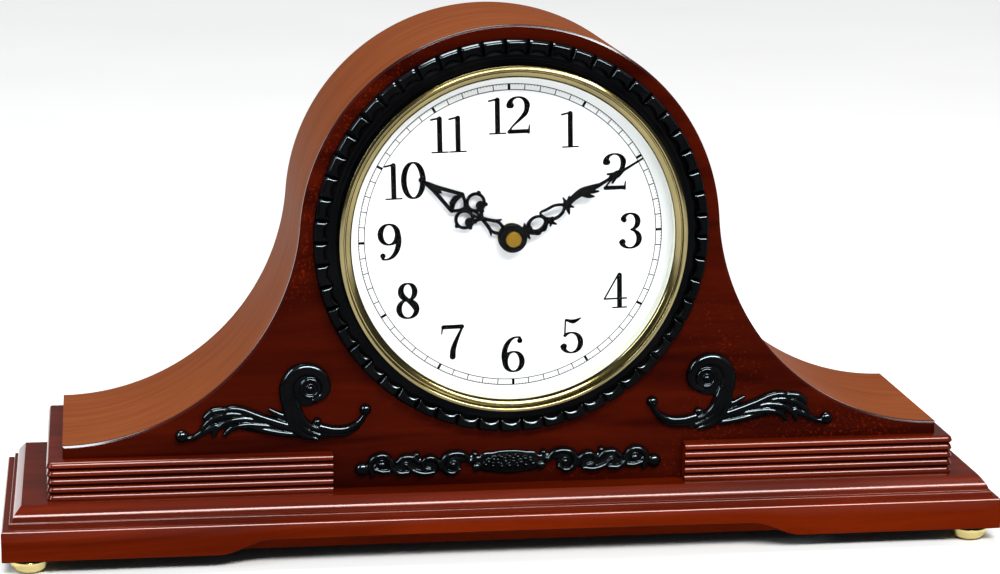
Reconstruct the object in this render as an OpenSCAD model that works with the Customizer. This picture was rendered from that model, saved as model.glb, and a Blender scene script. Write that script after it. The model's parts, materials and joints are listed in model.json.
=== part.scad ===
// Mantel clock: a bent-wood tambour case on a moulded base, with a quartz chime movement.
// Millimetres. +Z is up, the dial faces -Y, and the origin is on the surface that the
// clock stands on, under the middle of its base.

/* [Base] */
// Length of the base over its mouldings
base_w = 460; // [450:1:480]
// Depth of the base over its mouldings
base_d = 118.4; // [116:0.2:124]
// Height of the domed feet
foot_h = 7; // [5:0.5:10]
// Height of the face of the base mouldings
fascia_h = 14.4; // [13:0.2:18]
// Height of the base board with its rounded top edge
base_h = 23.8; // [22:0.2:28]
// Length of the raised arch cut into the front moulding
cutout_w = 265; // [200:5:300]

/* [Plinth blocks] */
// Half of the length over both reeded blocks
block_half_w = 209.7; // [206:0.1:215]
// Distance from the middle to the inner end of a block
block_inner_x = 81.5; // [70:0.5:90]
// Height of one reed
reed_pitch = 3.72; // [3.4:0.02:3.8]
// Number of reeds, the lowest of them cut off by the base
reed_count = 5; // [5:1:5]

/* [Case] */
// Half of the width over the wing tips
case_half_w = 202.4; // [196:0.2:205]
// Height of the wing tips above the surface
wing_z = 54.2; // [53:0.2:58]
// Height of the dial's centre above the surface
dial_z = 145.8; // [140:0.2:150]
// Radius of the arch over the dial
arch_r = 95.7; // [94:0.1:100]
// Front face of the case
case_front_y = -39.1; // [-42:0.1:-38]
// Rear edge of the roof
case_rear_y = 50.4; // [48:0.1:52]
// Thickness of the front panel
front_t = 9; // [8:0.5:10]
// Thickness of the bent roof
roof_t = 4; // [3:0.5:4]
// Thickness of the rear panel
rear_t = 6; // [5:0.5:6]

/* [Dial] */
// Radius of the white part of the dial
dial_r = 74.6; // [74:0.1:75]
// Outer radius of the black ring
ring_r = 90.5; // [88:0.5:91]
// Number of lobes on the black ring
lobe_count = 54; // [48:1:60]
// Length of the minute hand from its axis to its tip
minute_hand_l = 68.7; // [60:0.1:70]
// Length of the hour hand from its axis to its tip
hour_hand_l = 50.4; // [42:0.1:52]
// Minutes past ten that the hands show
shown_minutes = 9.8; // [0:0.1:59]

/* [Movement] */
// Width of the movement's housing
mover_w = 64; // [64:1:70]
// Depth of the movement's housing
mover_d = 23.1; // [23.1:0.1:24]
// Wall thickness of the housing
mover_wall = 2; // [1.5:0.1:2]
// Running clearance round every arbor
run_gap = 0.06; // [0.04:0.01:0.1]

/* [Hidden] */
$fn = 96;
eps = 0.01;

base_top_z = foot_h + base_h;
block_top_z = base_top_z - 1.0 + reed_count * reed_pitch;
block_front_y = -45.8;
block_rear_y = 52.2;
strip_t = 9;
foot_r = 9;
foot_x = 218;
foot_y = 49;

// The sweep from arch to wing is an arc tangent to the arch and level at the wing tip.
wing_drop = wing_z - dial_z;
sweep_r = (case_half_w * case_half_w + wing_drop * wing_drop - arch_r * arch_r)
          / (2 * (arch_r - wing_drop));
sweep_z = wing_z + sweep_r;
tangent_z = dial_z + (sweep_z - dial_z) * arch_r / (arch_r + sweep_r);

front_rear_y = case_front_y + front_t;
rear_panel_y = case_rear_y - 2;
rear_inner_y = rear_panel_y - rear_t;
panel_hole_r = dial_r + 0.6;

// Dial stack, from the front to the rear.
bezel_in_r = 73.3;
bezel_out_r = 78.8;
bezel_front_y = -48.6;
glass_y = -46.4;
glass_t = 1.2;
dial_y = -35.9;
dial_t = 0.8;
board_flange_r = 86;
board_flange_t = 4;
stem_r = 5;
mover_y = front_rear_y + board_flange_t;
mover_top = 32;
mover_bottom = -58;
bay_top = -24;

// Hands.
hour_hand_y = -38.7;
minute_hand_y = -40.7;
hand_t = 0.5;
minute_angle = shown_minutes * 6;
hour_angle = 300 + shown_minutes / 2 - 2;
centre_arbor_r = 1.0;
hour_pipe_r = 2.5;

// Gear train: modules, teeth and the direction from each wheel to the next.
fine_mod = 0.3;
third_mod = 0.35;
second_mod = 0.25;
motion_mod = 0.5;
hour_mod = 0.48;
third_dir = 125;
second_dir = 25;
middle_dir = -10;
rotor_dir = -60;
motion_dir = -50;
third_at = polar(0, 0, fine_mod * (60 + 8) / 2, third_dir);
second_at = polar(third_at[0], third_at[1], third_mod * (48 + 6) / 2, second_dir);
middle_at = polar(second_at[0], second_at[1], second_mod * (60 + 12) / 2, middle_dir);
rotor_at = polar(middle_at[0], middle_at[1], second_mod * (60 + 10) / 2, rotor_dir);
motion_at = polar(0, 0, motion_mod * (12 + 36) / 2, motion_dir);
fine_arbor_r = 0.5;
setting_arbor_r = 0.9;
front_plate_y = -19;
rear_plate_y = -5.6;
plate_t = 1.2;
mover_rear_y = mover_y + mover_d;
cover_t = 2;

// Slots of the two controls on the movement's cover.
control_z = 26;
selector_x = -19;
volume_x = 19;
slot_l = 16;
slot_h = 3;

// Cells.
cell_r = 7;
cell_l = 49.2;
cell_y = -13;
cell_upper = -33.2;
cell_lower = -48.8;

// Rear door.
door_half_w = 57.5;
door_gap = 0.5;
door_t = 4;
door_low = -57.5;
door_high = 49.5;
hinge_x = door_half_w + door_gap;
hinge_y = rear_panel_y + 1.5;
knuckle_r = 1.5;
hinge_pin_r = 0.75;
hinge_offsets = [-42, 34];

// Speaker on the rear panel, in the left wing seen from the front.
speaker_x = -90;
speaker_z = 80;
speaker_r = 20;

// Route of each speaker lead, from the movement's side to the speaker's terminals.
lead_r = 0.7;
lead_route = [
    [-32.2, -12, 128], [-38, -12, 128], [-44, -11, 126], [-49, -8, 121], [-52, -3, 114],
    [-55, 3, 106], [-59, 9, 99], [-64, 15, 93], [-69, 20, 89], [-74, 24, 86],
    [-78, 28, 84], [-79.5, 32, 83], [-80, 36, 82.5]
];
lead_gap = 2.4;

// ---- helpers ---------------------------------------------------------------------------

function polar(x, y, r, a) = [x + r * cos(a), y + r * sin(a)];

// Extrudes a drawing seen from the front (X across, Z up) from y0 back to y1.
module slab(y0, y1) {
    translate([0, y1, 0]) rotate([90, 0, 0]) linear_extrude(y1 - y0) children();
}

// A slab whose drawing is centred on the dial.
module dial_slab(y0, y1) {
    translate([0, 0, dial_z]) slab(y0, y1) children();
}

// A turned piece on the dial's axis, from a profile of [radius, y] points.
module dial_turned(profile) {
    translate([0, 0, dial_z]) rotate([-90, 0, 0]) rotate_extrude() polygon(profile);
}

module disc_at(p, r) {
    translate(p) circle(r);
}

module mirror_pair() {
    children();
    mirror([1, 0, 0]) children();
}

// A gear drawing with slim straight-sided teeth, one of them pointing along angle phase.
module gear(teeth, mod, phase) {
    pitch_r = teeth * mod / 2;
    root_r = pitch_r - 0.95 * mod;
    tip_r = pitch_r + 0.6 * mod;
    step = 360 / teeth;
    polygon([
        for (i = [0 : teeth - 1])
            for (corner = [[root_r, -0.23], [tip_r, -0.10], [tip_r, 0.10], [root_r, 0.23]])
                polar(0, 0, corner[0], phase + (i + corner[1]) * step)
    ]);
}

// Phase that puts a tooth gap towards direction dir.
function gap_phase(dir, teeth) = dir + 180 / teeth;

// ---- base ------------------------------------------------------------------------------

// Half section of the edge moulding: depth behind its face, height above the surface.
function moulding_profile() = concat(
    [[strip_t, foot_h], [0, foot_h], [0, foot_h + fascia_h - 0.7]],
    [for (a = [60 : -30 : 0]) [0.7 - 0.7 * cos(90 - a), foot_h + fascia_h - 0.7 * (1 - cos(a))]],
    [[2.6, foot_h + fascia_h + 0.7], [3.3, foot_h + fascia_h + 2.2]],
    [[3.8, foot_h + fascia_h + 2.5], [4.9, foot_h + fascia_h + 2.6]],
    [for (a = [15 : 15 : 90])
        [strip_t - 4 * cos(a), base_top_z - 6.4 * (1 - sin(a))]]
);

// A length of moulding with mitred ends, its face towards -Y at distance from the middle.
module moulding(length, face_distance) {
    intersection() {
        translate([-length / 2, -face_distance, 0]) rotate([90, 0, 90])
            linear_extrude(length) polygon(moulding_profile());
        linear_extrude(base_top_z + 1) polygon([
            [-length / 2, -face_distance], [length / 2, -face_distance],
            [length / 2 - strip_t, strip_t - face_distance],
            [strip_t - length / 2, strip_t - face_distance]
        ]);
    }
}

// Outline of the arch along the foot of the front moulding, with ogee ends.
module cutout_2d() {
    rise = 8;
    run = 24;
    half = cutout_w / 2;
    ogee = [for (t = [0 : 0.125 : 1]) [half - run * t, foot_h + rise * (1 - cos(180 * t)) / 2]];
    polygon(concat(
        [[half, foot_h - 1]], ogee,
        [for (i = [8 : -1 : 0]) [-ogee[i][0], ogee[i][1]]],
        [[-half, foot_h - 1]]
    ));
}

module base_board() {
    color("maroon") translate([-base_w / 2 + strip_t, -base_d / 2 + strip_t, foot_h])
        cube([base_w - 2 * strip_t, base_d - 2 * strip_t, base_h]);
}

module base_moulding_front() {
    color("maroon") difference() {
        moulding(base_w, base_d / 2);
        slab(-base_d / 2 - 1, -base_d / 2 + strip_t + 1) cutout_2d();
    }
}

module base_moulding_back() {
    color("maroon") rotate([0, 0, 180]) moulding(base_w, base_d / 2);
}

module base_moulding_left() {
    color("maroon") rotate([0, 0, -90]) moulding(base_d, base_w / 2);
}

module base_moulding_right() {
    color("maroon") rotate([0, 0, 90]) moulding(base_d, base_w / 2);
}

module feet() {
    color("goldenrod")
        for (x = [-foot_x, foot_x], y = [-foot_y, foot_y])
            translate([x, y, 0]) rotate_extrude() polygon(concat(
                [[0, 0]],
                [for (a = [-60 : 12 : 0]) [foot_r - 5 * (1 - cos(a)), 5 * (1 + sin(a) / sin(60))]],
                [[foot_r, foot_h], [0, foot_h]]
            ));
}

// One block: half-round reeds along its front and outer end, square at its inner end.
module reeded_block() {
    reed_r = reed_pitch / 2;
    core_inset = reed_r - 0.35;
    translate([0, 0, base_top_z])
        intersection() {
            translate([0, block_front_y, 0])
                cube([block_half_w, block_rear_y - block_front_y, block_top_z - base_top_z]);
            union() {
                translate([block_inner_x, block_front_y + core_inset, -1]) cube([
                    block_half_w - block_inner_x - core_inset,
                    block_rear_y - block_front_y - core_inset,
                    block_top_z - base_top_z + 1 - reed_r * 0.6
                ]);
                for (i = [0 : reed_count - 1])
                    translate([0, 0, block_top_z - base_top_z - reed_r - i * reed_pitch])
                        reed(reed_r);
            }
        }
}

module reed(r) {
    translate([block_inner_x, block_front_y + r, 0]) rotate([0, 90, 0])
        cylinder(h = block_half_w - block_inner_x - r, r = r);
    translate([block_half_w - r, block_front_y + r, 0]) sphere(r);
    translate([block_half_w - r, block_front_y + r, 0]) rotate([-90, 0, 0])
        cylinder(h = block_rear_y - block_front_y - r, r = r);
    translate([block_inner_x, block_front_y + r, -r]) cube([
        block_half_w - block_inner_x - r, block_rear_y - block_front_y - r, 2 * r
    ]);
}

module reeded_block_left() {
    color("maroon") mirror([1, 0, 0]) reeded_block();
}

module reeded_block_right() {
    color("maroon") reeded_block();
}

// ---- case ------------------------------------------------------------------------------

// Outline of the case seen from the front, shrunk by inset, down to height low_z.
module case_outline(inset, low_z) {
    translate([0, dial_z]) circle(arch_r - inset, $fn = 240);
    difference() {
        translate([-case_half_w + inset, low_z])
            square([2 * (case_half_w - inset), tangent_z - low_z]);
        for (side = [-1, 1])
            translate([side * case_half_w, sweep_z]) circle(sweep_r + inset, $fn = 240);
    }
}

// The tongue between the plinth blocks, where a panel runs down to the base.
module tongue_2d() {
    translate([-block_inner_x + 0.2, base_top_z])
        square([2 * block_inner_x - 0.4, block_top_z - base_top_z + 1]);
}

module front_panel() {
    color("maroon") difference() {
        slab(case_front_y, front_rear_y) {
            case_outline(0, block_top_z);
            tongue_2d();
        }
        dial_slab(case_front_y - 1, front_rear_y + 1) circle(panel_hole_r);
    }
}

module roof_band() {
    color("sienna") slab(front_rear_y, case_rear_y) difference() {
        case_outline(0, block_top_z);
        case_outline(roof_t, block_top_z - 1);
    }
}

module back_panel() {
    color("saddlebrown") difference() {
        slab(rear_inner_y, rear_panel_y) {
            case_outline(roof_t, block_top_z);
            tongue_2d();
        }
        dial_slab(rear_inner_y - 1, rear_panel_y + 1)
            translate([-hinge_x, door_low - door_gap])
                square([2 * hinge_x, door_high - door_low + 2 * door_gap]);
        translate([speaker_x, 0, speaker_z]) slab(rear_inner_y - 1, rear_panel_y + 1)
            grille_2d();
    }
}

// Holes in the rear panel in front of the speaker: one, then rings of six and twelve.
module grille_2d() {
    hole_r = 1.6;
    circle(hole_r);
    for (ring = [1, 2], i = [0 : 6 * ring - 1])
        disc_at(polar(0, 0, 6 * ring, i * 60 / ring), hole_r);
}

// Upright battens that join the front and rear panels inside the sweeps.
module corner_battens() {
    color("peru") for (side = [-1, 1])
        translate([side * 118 - 6, front_rear_y, block_top_z])
            cube([12, rear_inner_y - front_rear_y, 26]);
}

module panel_screws() {
    color("silver") for (side = [-1, 1], x = [70, 118])
        translate([side * x, 0, block_top_z + (x > 100 ? 13 : -6)])
            slab(rear_panel_y, rear_panel_y + 0.9) difference() {
                circle(3);
                square([4, 0.8], center = true);
                square([0.8, 4], center = true);
            }
}

// ---- dial and ring ---------------------------------------------------------------------

// Black ring: a half-round band with a lobe on every step, round the bezel.
module dial_ring() {
    inner_r = bezel_out_r + 0.3;
    lobe_r = (ring_r - inner_r) / 2;
    mid_r = (ring_r + inner_r) / 2;
    color("black") union() {
        dial_turned([
            [inner_r, case_front_y], [ring_r - 0.7, case_front_y], [ring_r - 0.9, case_front_y - 2],
            [ring_r - 3, case_front_y - 4.2], [mid_r - 1, case_front_y - 4.8],
            [inner_r, case_front_y - 4.2]
        ]);
        for (i = [0 : lobe_count - 1])
            translate([0, 0, dial_z]) rotate([0, i * 360 / lobe_count, 0])
                translate([0, case_front_y - 0.01, mid_r]) rotate([90, 0, 0])
                    cylinder(h = 5.2, r = lobe_r * 0.7, $fn = 24);
    }
}

// Brass bezel: an outer bead, a groove and an inner lip that holds the glass.
module bezel() {
    seat_y = glass_y + glass_t;
    color("gold") dial_turned(concat(
        [[bezel_in_r, dial_y], [bezel_in_r, seat_y], [bezel_in_r - 0.9, seat_y]],
        [[bezel_in_r - 0.9, seat_y - glass_t - 0.9], [bezel_in_r + 0.6, bezel_front_y + 1]],
        [[bezel_in_r + 1.9, bezel_front_y + 0.6], [bezel_in_r + 2.2, bezel_front_y + 1.2]],
        [for (a = [180 : -30 : 0])
            [bezel_out_r - 1.6 + 1.6 * cos(a), bezel_front_y + 1.6 - 1.6 * sin(a)]],
        [[bezel_out_r, case_front_y], [panel_hole_r - 0.2, case_front_y]],
        [[panel_hole_r - 0.2, dial_y]]
    ));
}

module glass() {
    color("white", 0.3) dial_slab(glass_y, glass_y + glass_t) circle(bezel_in_r - 1.0);
}

module dial_plate() {
    color("white") dial_slab(dial_y, dial_y + dial_t) difference() {
        circle(dial_r);
        circle(stem_r + 0.1);
    }
}

module dial_board() {
    color("burlywood") difference() {
        union() {
            dial_slab(dial_y + dial_t, front_rear_y) circle(dial_r);
            dial_slab(front_rear_y, mover_y) circle(board_flange_r);
        }
        dial_slab(dial_y, mover_y + 1) circle(stem_r + 0.1);
    }
}

module dial_screws() {
    color("silver") dial_slab(mover_y, mover_y + 2)
        for (a = [45 : 90 : 315]) difference() {
            disc_at(polar(0, 0, 81, a), 3);
            translate(polar(0, 0, 81, a)) square([4, 0.8], center = true);
            translate(polar(0, 0, 81, a)) square([0.8, 4], center = true);
        }
}

module fixing_washer() {
    color("gold") dial_slab(dial_y - 0.5, dial_y) difference() {
        circle(6.2);
        circle(stem_r + 0.1);
    }
}

module fixing_nut() {
    color("gold") dial_slab(dial_y - 1.9, dial_y - 0.5) difference() {
        circle(6.4, $fn = 6);
        circle(stem_r + run_gap);
    }
}

// ---- hands -----------------------------------------------------------------------------

// Turns a drawing that points up the dial to a clock angle.
module hand(y0, clock_angle) {
    dial_slab(y0, y0 + hand_t) rotate(-clock_angle) children();
}

module ring_2d(p, outer, inner) {
    translate(p) difference() {
        circle(outer);
        circle(inner);
    }
}

module hour_hand() {
    kite = [[0, 25], [6.5, 34], [0, hour_hand_l], [-6.5, 34]];
    kite_hole = [[0, 28], [4.4, 34], [0, 42], [-4.4, 34]];
    color("black") hand(hour_hand_y, hour_angle) difference() {
        union() {
            circle(6);
            for (side = [-1, 1]) ring_2d([side * 5.4, 22], 5, 3.6);
            translate([-1.1, 4]) square([2.2, 22]);
            difference() {
                polygon(kite);
                polygon(kite_hole);
            }
        }
        circle(hour_pipe_r - 0.4);
    }
}

module minute_hand() {
    needle = [[1.3, 36], [2.8, 50], [0, minute_hand_l], [-2.8, 50], [-1.3, 36]];
    color("black") hand(minute_hand_y, minute_angle) difference() {
        union() {
            circle(5);
            ring_2d([0, 14], 5, 3.7);
            ring_2d([0, 22.8], 4.4, 3.2);
            translate([-1.2, 4]) square([2.4, 6]);
            translate([-1.2, 26.4]) square([2.4, 12]);
            polygon(needle);
        }
        circle(centre_arbor_r);
    }
}

module hand_boss() {
    color("black") dial_turned([
        [centre_arbor_r, minute_hand_y], [6.5, minute_hand_y], [6.5, minute_hand_y - 0.7],
        [5.9, minute_hand_y - 1.3], [centre_arbor_r, minute_hand_y - 1.3]
    ]);
}

module hand_cap() {
    front_y = minute_hand_y - 3.5;
    color("gold") dial_turned([
        [0, front_y], [2.9, front_y], [3.5, front_y + 0.6], [3.5, minute_hand_y - 1.3],
        [centre_arbor_r, minute_hand_y - 1.3], [centre_arbor_r, minute_hand_y - 1.8],
        [0, minute_hand_y - 1.8]
    ]);
}

// ---- carved ornaments ------------------------------------------------------------------

// A tapering band along a curve of points, as wide as widths says at each point.
module band(points, widths) {
    last = len(points) - 1;
    function heading(i) = points[min(i + 1, last)] - points[max(i - 1, 0)];
    function side(i, s) = points[i]
        + s * widths[i] / 2 / norm(heading(i)) * [-heading(i)[1], heading(i)[0]];
    polygon(concat(
        [for (i = [0 : last]) side(i, -1)],
        [for (i = [last : -1 : 0]) side(i, 1)]
    ));
}

// Right-hand scroll: a stem that rises into a volute, a leaf outside and a tendril inside.
module scroll_2d() {
    eye = [91.6, 78.8];
    foot = [86, 55.5];
    stem_run = 9.3;
    steps = [0 : 1 / 12 : 1];
    rise = eye - foot;
    stem = [for (t = steps) foot + [(rise[0] + stem_run) * sin(90 * t), rise[1] * (1 - cos(90 * t))]];
    leaf = [for (t = steps) [foot[0] + 62 * t, 57 + 14 * sin(172 * t) - 1.5 * t]];
    tendril = [for (t = steps) [90 - 22 * t, 56.5 + 10 * t * t]];
    band(stem, [for (t = steps) 3 + 1.4 * sin(170 * t)]);
    band(leaf, [for (t = steps) 2.4 + 7.6 * sin(180 * t)]);
    band(tendril, [for (t = steps) 3 + 2.5 * sin(180 * t)]);
    disc_at(eye, 11.5);
    disc_at([149.2, 57.2], 2.6);
    disc_at([67.2, 67.6], 2.4);
}

module scroll(y_depth) {
    slab(case_front_y - y_depth, case_front_y) scroll_2d();
}

module scroll_left() {
    color("black") mirror([1, 0, 0]) scroll(3.5);
}

module scroll_right() {
    color("black") scroll(3.5);
}

// Carved strip under the dial: a beaded cartouche between two rows of C-scrolls.
module garland() {
    mid_z = 41;
    color("black") slab(case_front_y - 3.5, case_front_y) {
        for (i = [-1 : 1]) disc_at([i * 6, mid_z + 0.5], 5.5);
        mirror_pair() {
            translate([10, mid_z - 2]) square([54, 4.4]);
            for (x = [20, 28, 40, 52, 60]) disc_at([x, mid_z], 4.6);
            disc_at([66, mid_z - 0.6], 2.9);
        }
    }
}

// ---- movement --------------------------------------------------------------------------

// Housing open to the rear, with the threaded stem that goes through the dial.
module movement_housing() {
    bay_wall_z = bay_top - mover_wall;
    color("dimgray") difference() {
        union() {
            difference() {
                dial_slab(mover_y, mover_rear_y) mover_2d(0);
                dial_slab(mover_y + mover_wall, mover_rear_y + 1) mover_2d(mover_wall);
            }
            dial_slab(mover_y + mover_wall - eps, mover_rear_y)
                translate([-mover_w / 2 + mover_wall - eps, bay_wall_z])
                    square([mover_w - 2 * mover_wall + 2 * eps, mover_wall]);
            dial_slab(dial_y - 2.1, mover_y + eps) circle(stem_r);
        }
        dial_slab(dial_y - 3, mover_y + mover_wall + 1) circle(hour_pipe_r + run_gap);
        translate([0, -12, 128]) rotate([0, -90, 0])
            cylinder(h = mover_w / 2 + 1, r = lead_gap / 2 + lead_r + 0.3);
    }
}

module mover_2d(inset) {
    translate([-mover_w / 2 + inset, mover_bottom + inset])
        square([mover_w - 2 * inset, mover_top - mover_bottom - 2 * inset]);
}

// Rear cover: openings for the cells, the two sliding controls and the setting arbor.
module movement_cover() {
    color("gray") dial_slab(mover_rear_y, mover_rear_y + cover_t) difference() {
        mover_2d(0);
        translate([-mover_w / 2 + 4, mover_bottom + 4])
            square([mover_w - 8, bay_top - mover_bottom - 6]);
        for (x = [selector_x, volume_x])
            translate([x, control_z]) square([slot_l, slot_h], center = true);
        disc_at(motion_at, setting_arbor_r + run_gap);
    }
}

// A train plate with pillars, and running holes for the arbors in holes.
module train_plate(y0, pillar_y0, pillar_y1, holes) {
    difference() {
        union() {
            dial_slab(y0, y0 + plate_t) translate([-17, -16]) square([36, 37.5]);
            dial_slab(pillar_y0, pillar_y1)
                for (p = [[-15, -13], [17.5, -14.5], [-15, 19.5], [16, 19.5]]) disc_at(p, 1.3);
        }
        for (hole = holes)
            dial_slab(y0 - 1, y0 + plate_t + 1) disc_at([hole[0], hole[1]], hole[2] + run_gap);
    }
}

module train_plate_front() {
    color("whitesmoke") train_plate(front_plate_y, mover_y + mover_wall, front_plate_y + eps, [
        [0, 0, centre_arbor_r], [third_at[0], third_at[1], fine_arbor_r],
        [second_at[0], second_at[1], fine_arbor_r], [middle_at[0], middle_at[1], fine_arbor_r],
        [rotor_at[0], rotor_at[1], fine_arbor_r], [motion_at[0], motion_at[1], setting_arbor_r]
    ]);
}

module train_plate_rear() {
    color("whitesmoke") train_plate(rear_plate_y, front_plate_y + plate_t, rear_plate_y + eps, [
        [0, 0, centre_arbor_r], [third_at[0], third_at[1], fine_arbor_r],
        [second_at[0], second_at[1], fine_arbor_r], [middle_at[0], middle_at[1], fine_arbor_r],
        [rotor_at[0], rotor_at[1], fine_arbor_r], [motion_at[0], motion_at[1], setting_arbor_r]
    ]);
}

// A wheel and pinion on one arbor that runs between the two train plates.
module wheel_and_pinion(at, wheel_y, pinion_y, arbor_r = fine_arbor_r) {
    translate([at[0], 0, at[1]]) {
        dial_slab(front_plate_y + 0.2, rear_plate_y + plate_t - 0.2) circle(arbor_r);
        dial_slab(wheel_y[0], wheel_y[1]) children(0);
        dial_slab(pinion_y[0], pinion_y[1]) children(1);
    }
}

module centre_wheel() {
    color("gold") {
        dial_slab(minute_hand_y - 1.8, rear_plate_y + plate_t - 0.2) circle(centre_arbor_r);
        dial_slab(-17, -16) gear(60, fine_mod, third_dir);
        dial_slab(-21.4, -19.5) gear(12, motion_mod, motion_dir);
    }
}

module third_wheel() {
    color("gold") wheel_and_pinion(third_at, [-14.6, -13.6], [-17.3, -14.6]) {
        gear(48, third_mod, second_dir);
        gear(8, fine_mod, gap_phase(third_dir + 180, 8));
    }
}

module second_wheel() {
    color("white") wheel_and_pinion(second_at, [-12.4, -11.6], [-14.9, -12.4]) {
        gear(60, second_mod, middle_dir);
        gear(6, third_mod, gap_phase(second_dir + 180, 6));
    }
}

module intermediate_wheel() {
    color("white") wheel_and_pinion(middle_at, [-10.6, -9.8], [-12.7, -10.6]) {
        gear(60, second_mod, rotor_dir);
        gear(12, second_mod, gap_phase(middle_dir + 180, 12));
    }
}

module rotor() {
    color("slategray") wheel_and_pinion(rotor_at, [-8.9, -6.4], [-11, -8.9]) {
        circle(2.8);
        gear(10, second_mod, gap_phase(rotor_dir + 180, 10));
    }
}

// Motion work: the minute wheel turns a third as fast as the minute hand.
module minute_wheel() {
    color("gold") translate([motion_at[0], 0, motion_at[1]]) {
        dial_slab(-23.9, mover_rear_y + cover_t + 1) circle(setting_arbor_r);
        dial_slab(-21.2, -19.8) gear(36, motion_mod, gap_phase(motion_dir + 180, 36));
        dial_slab(-23.7, -21.2) gear(10, hour_mod, motion_dir + 180);
    }
}

module hour_wheel() {
    pipe_bore_r = centre_arbor_r + run_gap;
    color("white") difference() {
        union() {
            dial_slab(hour_hand_y - 0.3, -22.2) circle(hour_pipe_r - 0.4);
            dial_slab(hour_hand_y + hand_t, -22.2) circle(hour_pipe_r);
            dial_slab(-23.6, -22.2) gear(40, hour_mod, gap_phase(motion_dir, 40));
        }
        dial_slab(hour_hand_y - 1, -21) circle(pipe_bore_r);
    }
}

module stator() {
    core_x = 26;
    color("lightsteelblue") {
        dial_slab(-8.3, -7.3) difference() {
            union() {
                disc_at(rotor_at, 5);
                translate([rotor_at[0], rotor_at[1] - 3]) square([core_x - rotor_at[0], 6]);
                translate([rotor_at[0] - 4, -19]) square([core_x - rotor_at[0] + 4, 3]);
                translate([rotor_at[0] - 4, -19]) square([3, 20]);
            }
            disc_at(rotor_at, 3.2);
        }
        translate([core_x, -7.8, dial_z - 18]) cylinder(h = 22, r = 1.2);
    }
}

module coil() {
    color("chocolate") translate([26, -7.8, dial_z - 15.6]) difference() {
        union() {
            cylinder(h = 15.4, r = 3.3);
            for (z = [0, 14.6]) translate([0, 0, z]) cylinder(h = 0.8, r = 3.9);
        }
        translate([0, 0, -1]) cylinder(h = 18, r = 1.26);
    }
}

// Board with the clock chip and the melody chip on it.
module circuit_board() {
    color("darkgreen") dial_slab(-8.2, -7.2) translate([-29, -22]) square([11, 48]);
    color("black") dial_slab(-7.2, -6)
        for (z = [-16, 6]) translate([-27, z]) square([7, 9]);
}

module crystal() {
    color("silver") translate([-23.5, -6, dial_z - 4]) cylinder(h = 6.2, r = 1.1);
}

// One cell lying across the bay, with its raised positive button.
module cell(z, pole_side) {
    translate([0, cell_y, dial_z + z]) rotate([0, 90 * pole_side, 0])
        translate([0, 0, -cell_l / 2]) {
            cylinder(h = cell_l, r = cell_r);
            translate([0, 0, cell_l]) cylinder(h = 1.3, r = 2.7);
        }
}

module battery_upper() {
    color("darkslategray") cell(cell_upper, 1);
}

module battery_lower() {
    color("darkslategray") cell(cell_lower, -1);
}

// Sprung contacts at the flat ends of the cells, and plates at their buttons.
module battery_contacts() {
    wall_x = mover_w / 2 - mover_wall;
    spring_l = wall_x - cell_l / 2 - 0.4;
    color("silver") for (c = [[cell_upper, 1], [cell_lower, -1]])
        translate([0, cell_y, dial_z + c[0]]) {
            translate([c[1] * (wall_x - 0.2), 0, 0]) cube([0.4, 10, 11], center = true);
            translate([-c[1] * (wall_x - 0.2), 0, 0]) cube([0.4, 10, 11], center = true);
            for (i = [0 : 3])
                translate([-c[1] * (cell_l / 2 + 0.6 + i * (spring_l - 1) / 3), 0, 0])
                    rotate([0, 90, 0]) rotate_extrude()
                        translate([2.4 + i * 0.6, 0]) circle(0.45, $fn = 16);
        }
}

// ---- controls on the movement ----------------------------------------------------------

module setting_knob() {
    knob_y = mover_rear_y + cover_t + 1;
    color("black") translate([motion_at[0], 0, motion_at[1]])
        dial_slab(knob_y, knob_y + 5) difference() {
            circle(6);
            for (a = [0 : 20 : 340]) disc_at(polar(0, 0, 6.4, a), 0.7);
        }
}

// A button that slides in a slot of the cover, held behind it by a wider foot.
module slide_button(x, z) {
    translate([x, 0, z]) {
        dial_slab(mover_rear_y - 1.6, mover_rear_y - 0.4) square([6, 6], center = true);
        dial_slab(mover_rear_y - 0.5, mover_rear_y + cover_t + 0.5)
            square([3.4, slot_h - 0.3], center = true);
        dial_slab(mover_rear_y + cover_t + 0.4, mover_rear_y + cover_t + 2)
            square([5, 4], center = true);
    }
}

module chime_selector() {
    color("red") slide_button(selector_x - 5, control_z);
}

module volume_slider() {
    color("white") slide_button(volume_x - 5, control_z);
}

// ---- speaker ---------------------------------------------------------------------------

// A turned piece on the speaker's axis, from a profile of [radius, y] points.
module speaker_turned(profile) {
    translate([speaker_x, 0, speaker_z]) rotate([-90, 0, 0]) rotate_extrude() polygon(profile);
}

module speaker_frame() {
    rim_y = rear_inner_y - 1.6;
    color("darkgray") speaker_turned([
        [speaker_r, rear_inner_y], [speaker_r, rim_y], [10, rim_y - 9], [4, rim_y - 9],
        [4, rim_y - 8], [9.6, rim_y - 8], [speaker_r - 2, rim_y], [speaker_r - 2, rear_inner_y]
    ]);
}

module speaker_cone() {
    rim_y = rear_inner_y - 1.4;
    color("black") speaker_turned([
        [speaker_r - 2.1, rim_y + 0.6], [speaker_r - 2.1, rim_y], [6, rim_y - 5.6],
        [0, rim_y - 4.6], [0, rim_y - 4.1], [5.8, rim_y - 5], [speaker_r - 3, rim_y + 0.6]
    ]);
}

module speaker_magnet() {
    rear_y = rear_inner_y - 10.6;
    color("gray") speaker_turned([
        [0, rear_y], [9, rear_y], [9, rear_y - 5], [0, rear_y - 5]
    ]);
}

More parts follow.
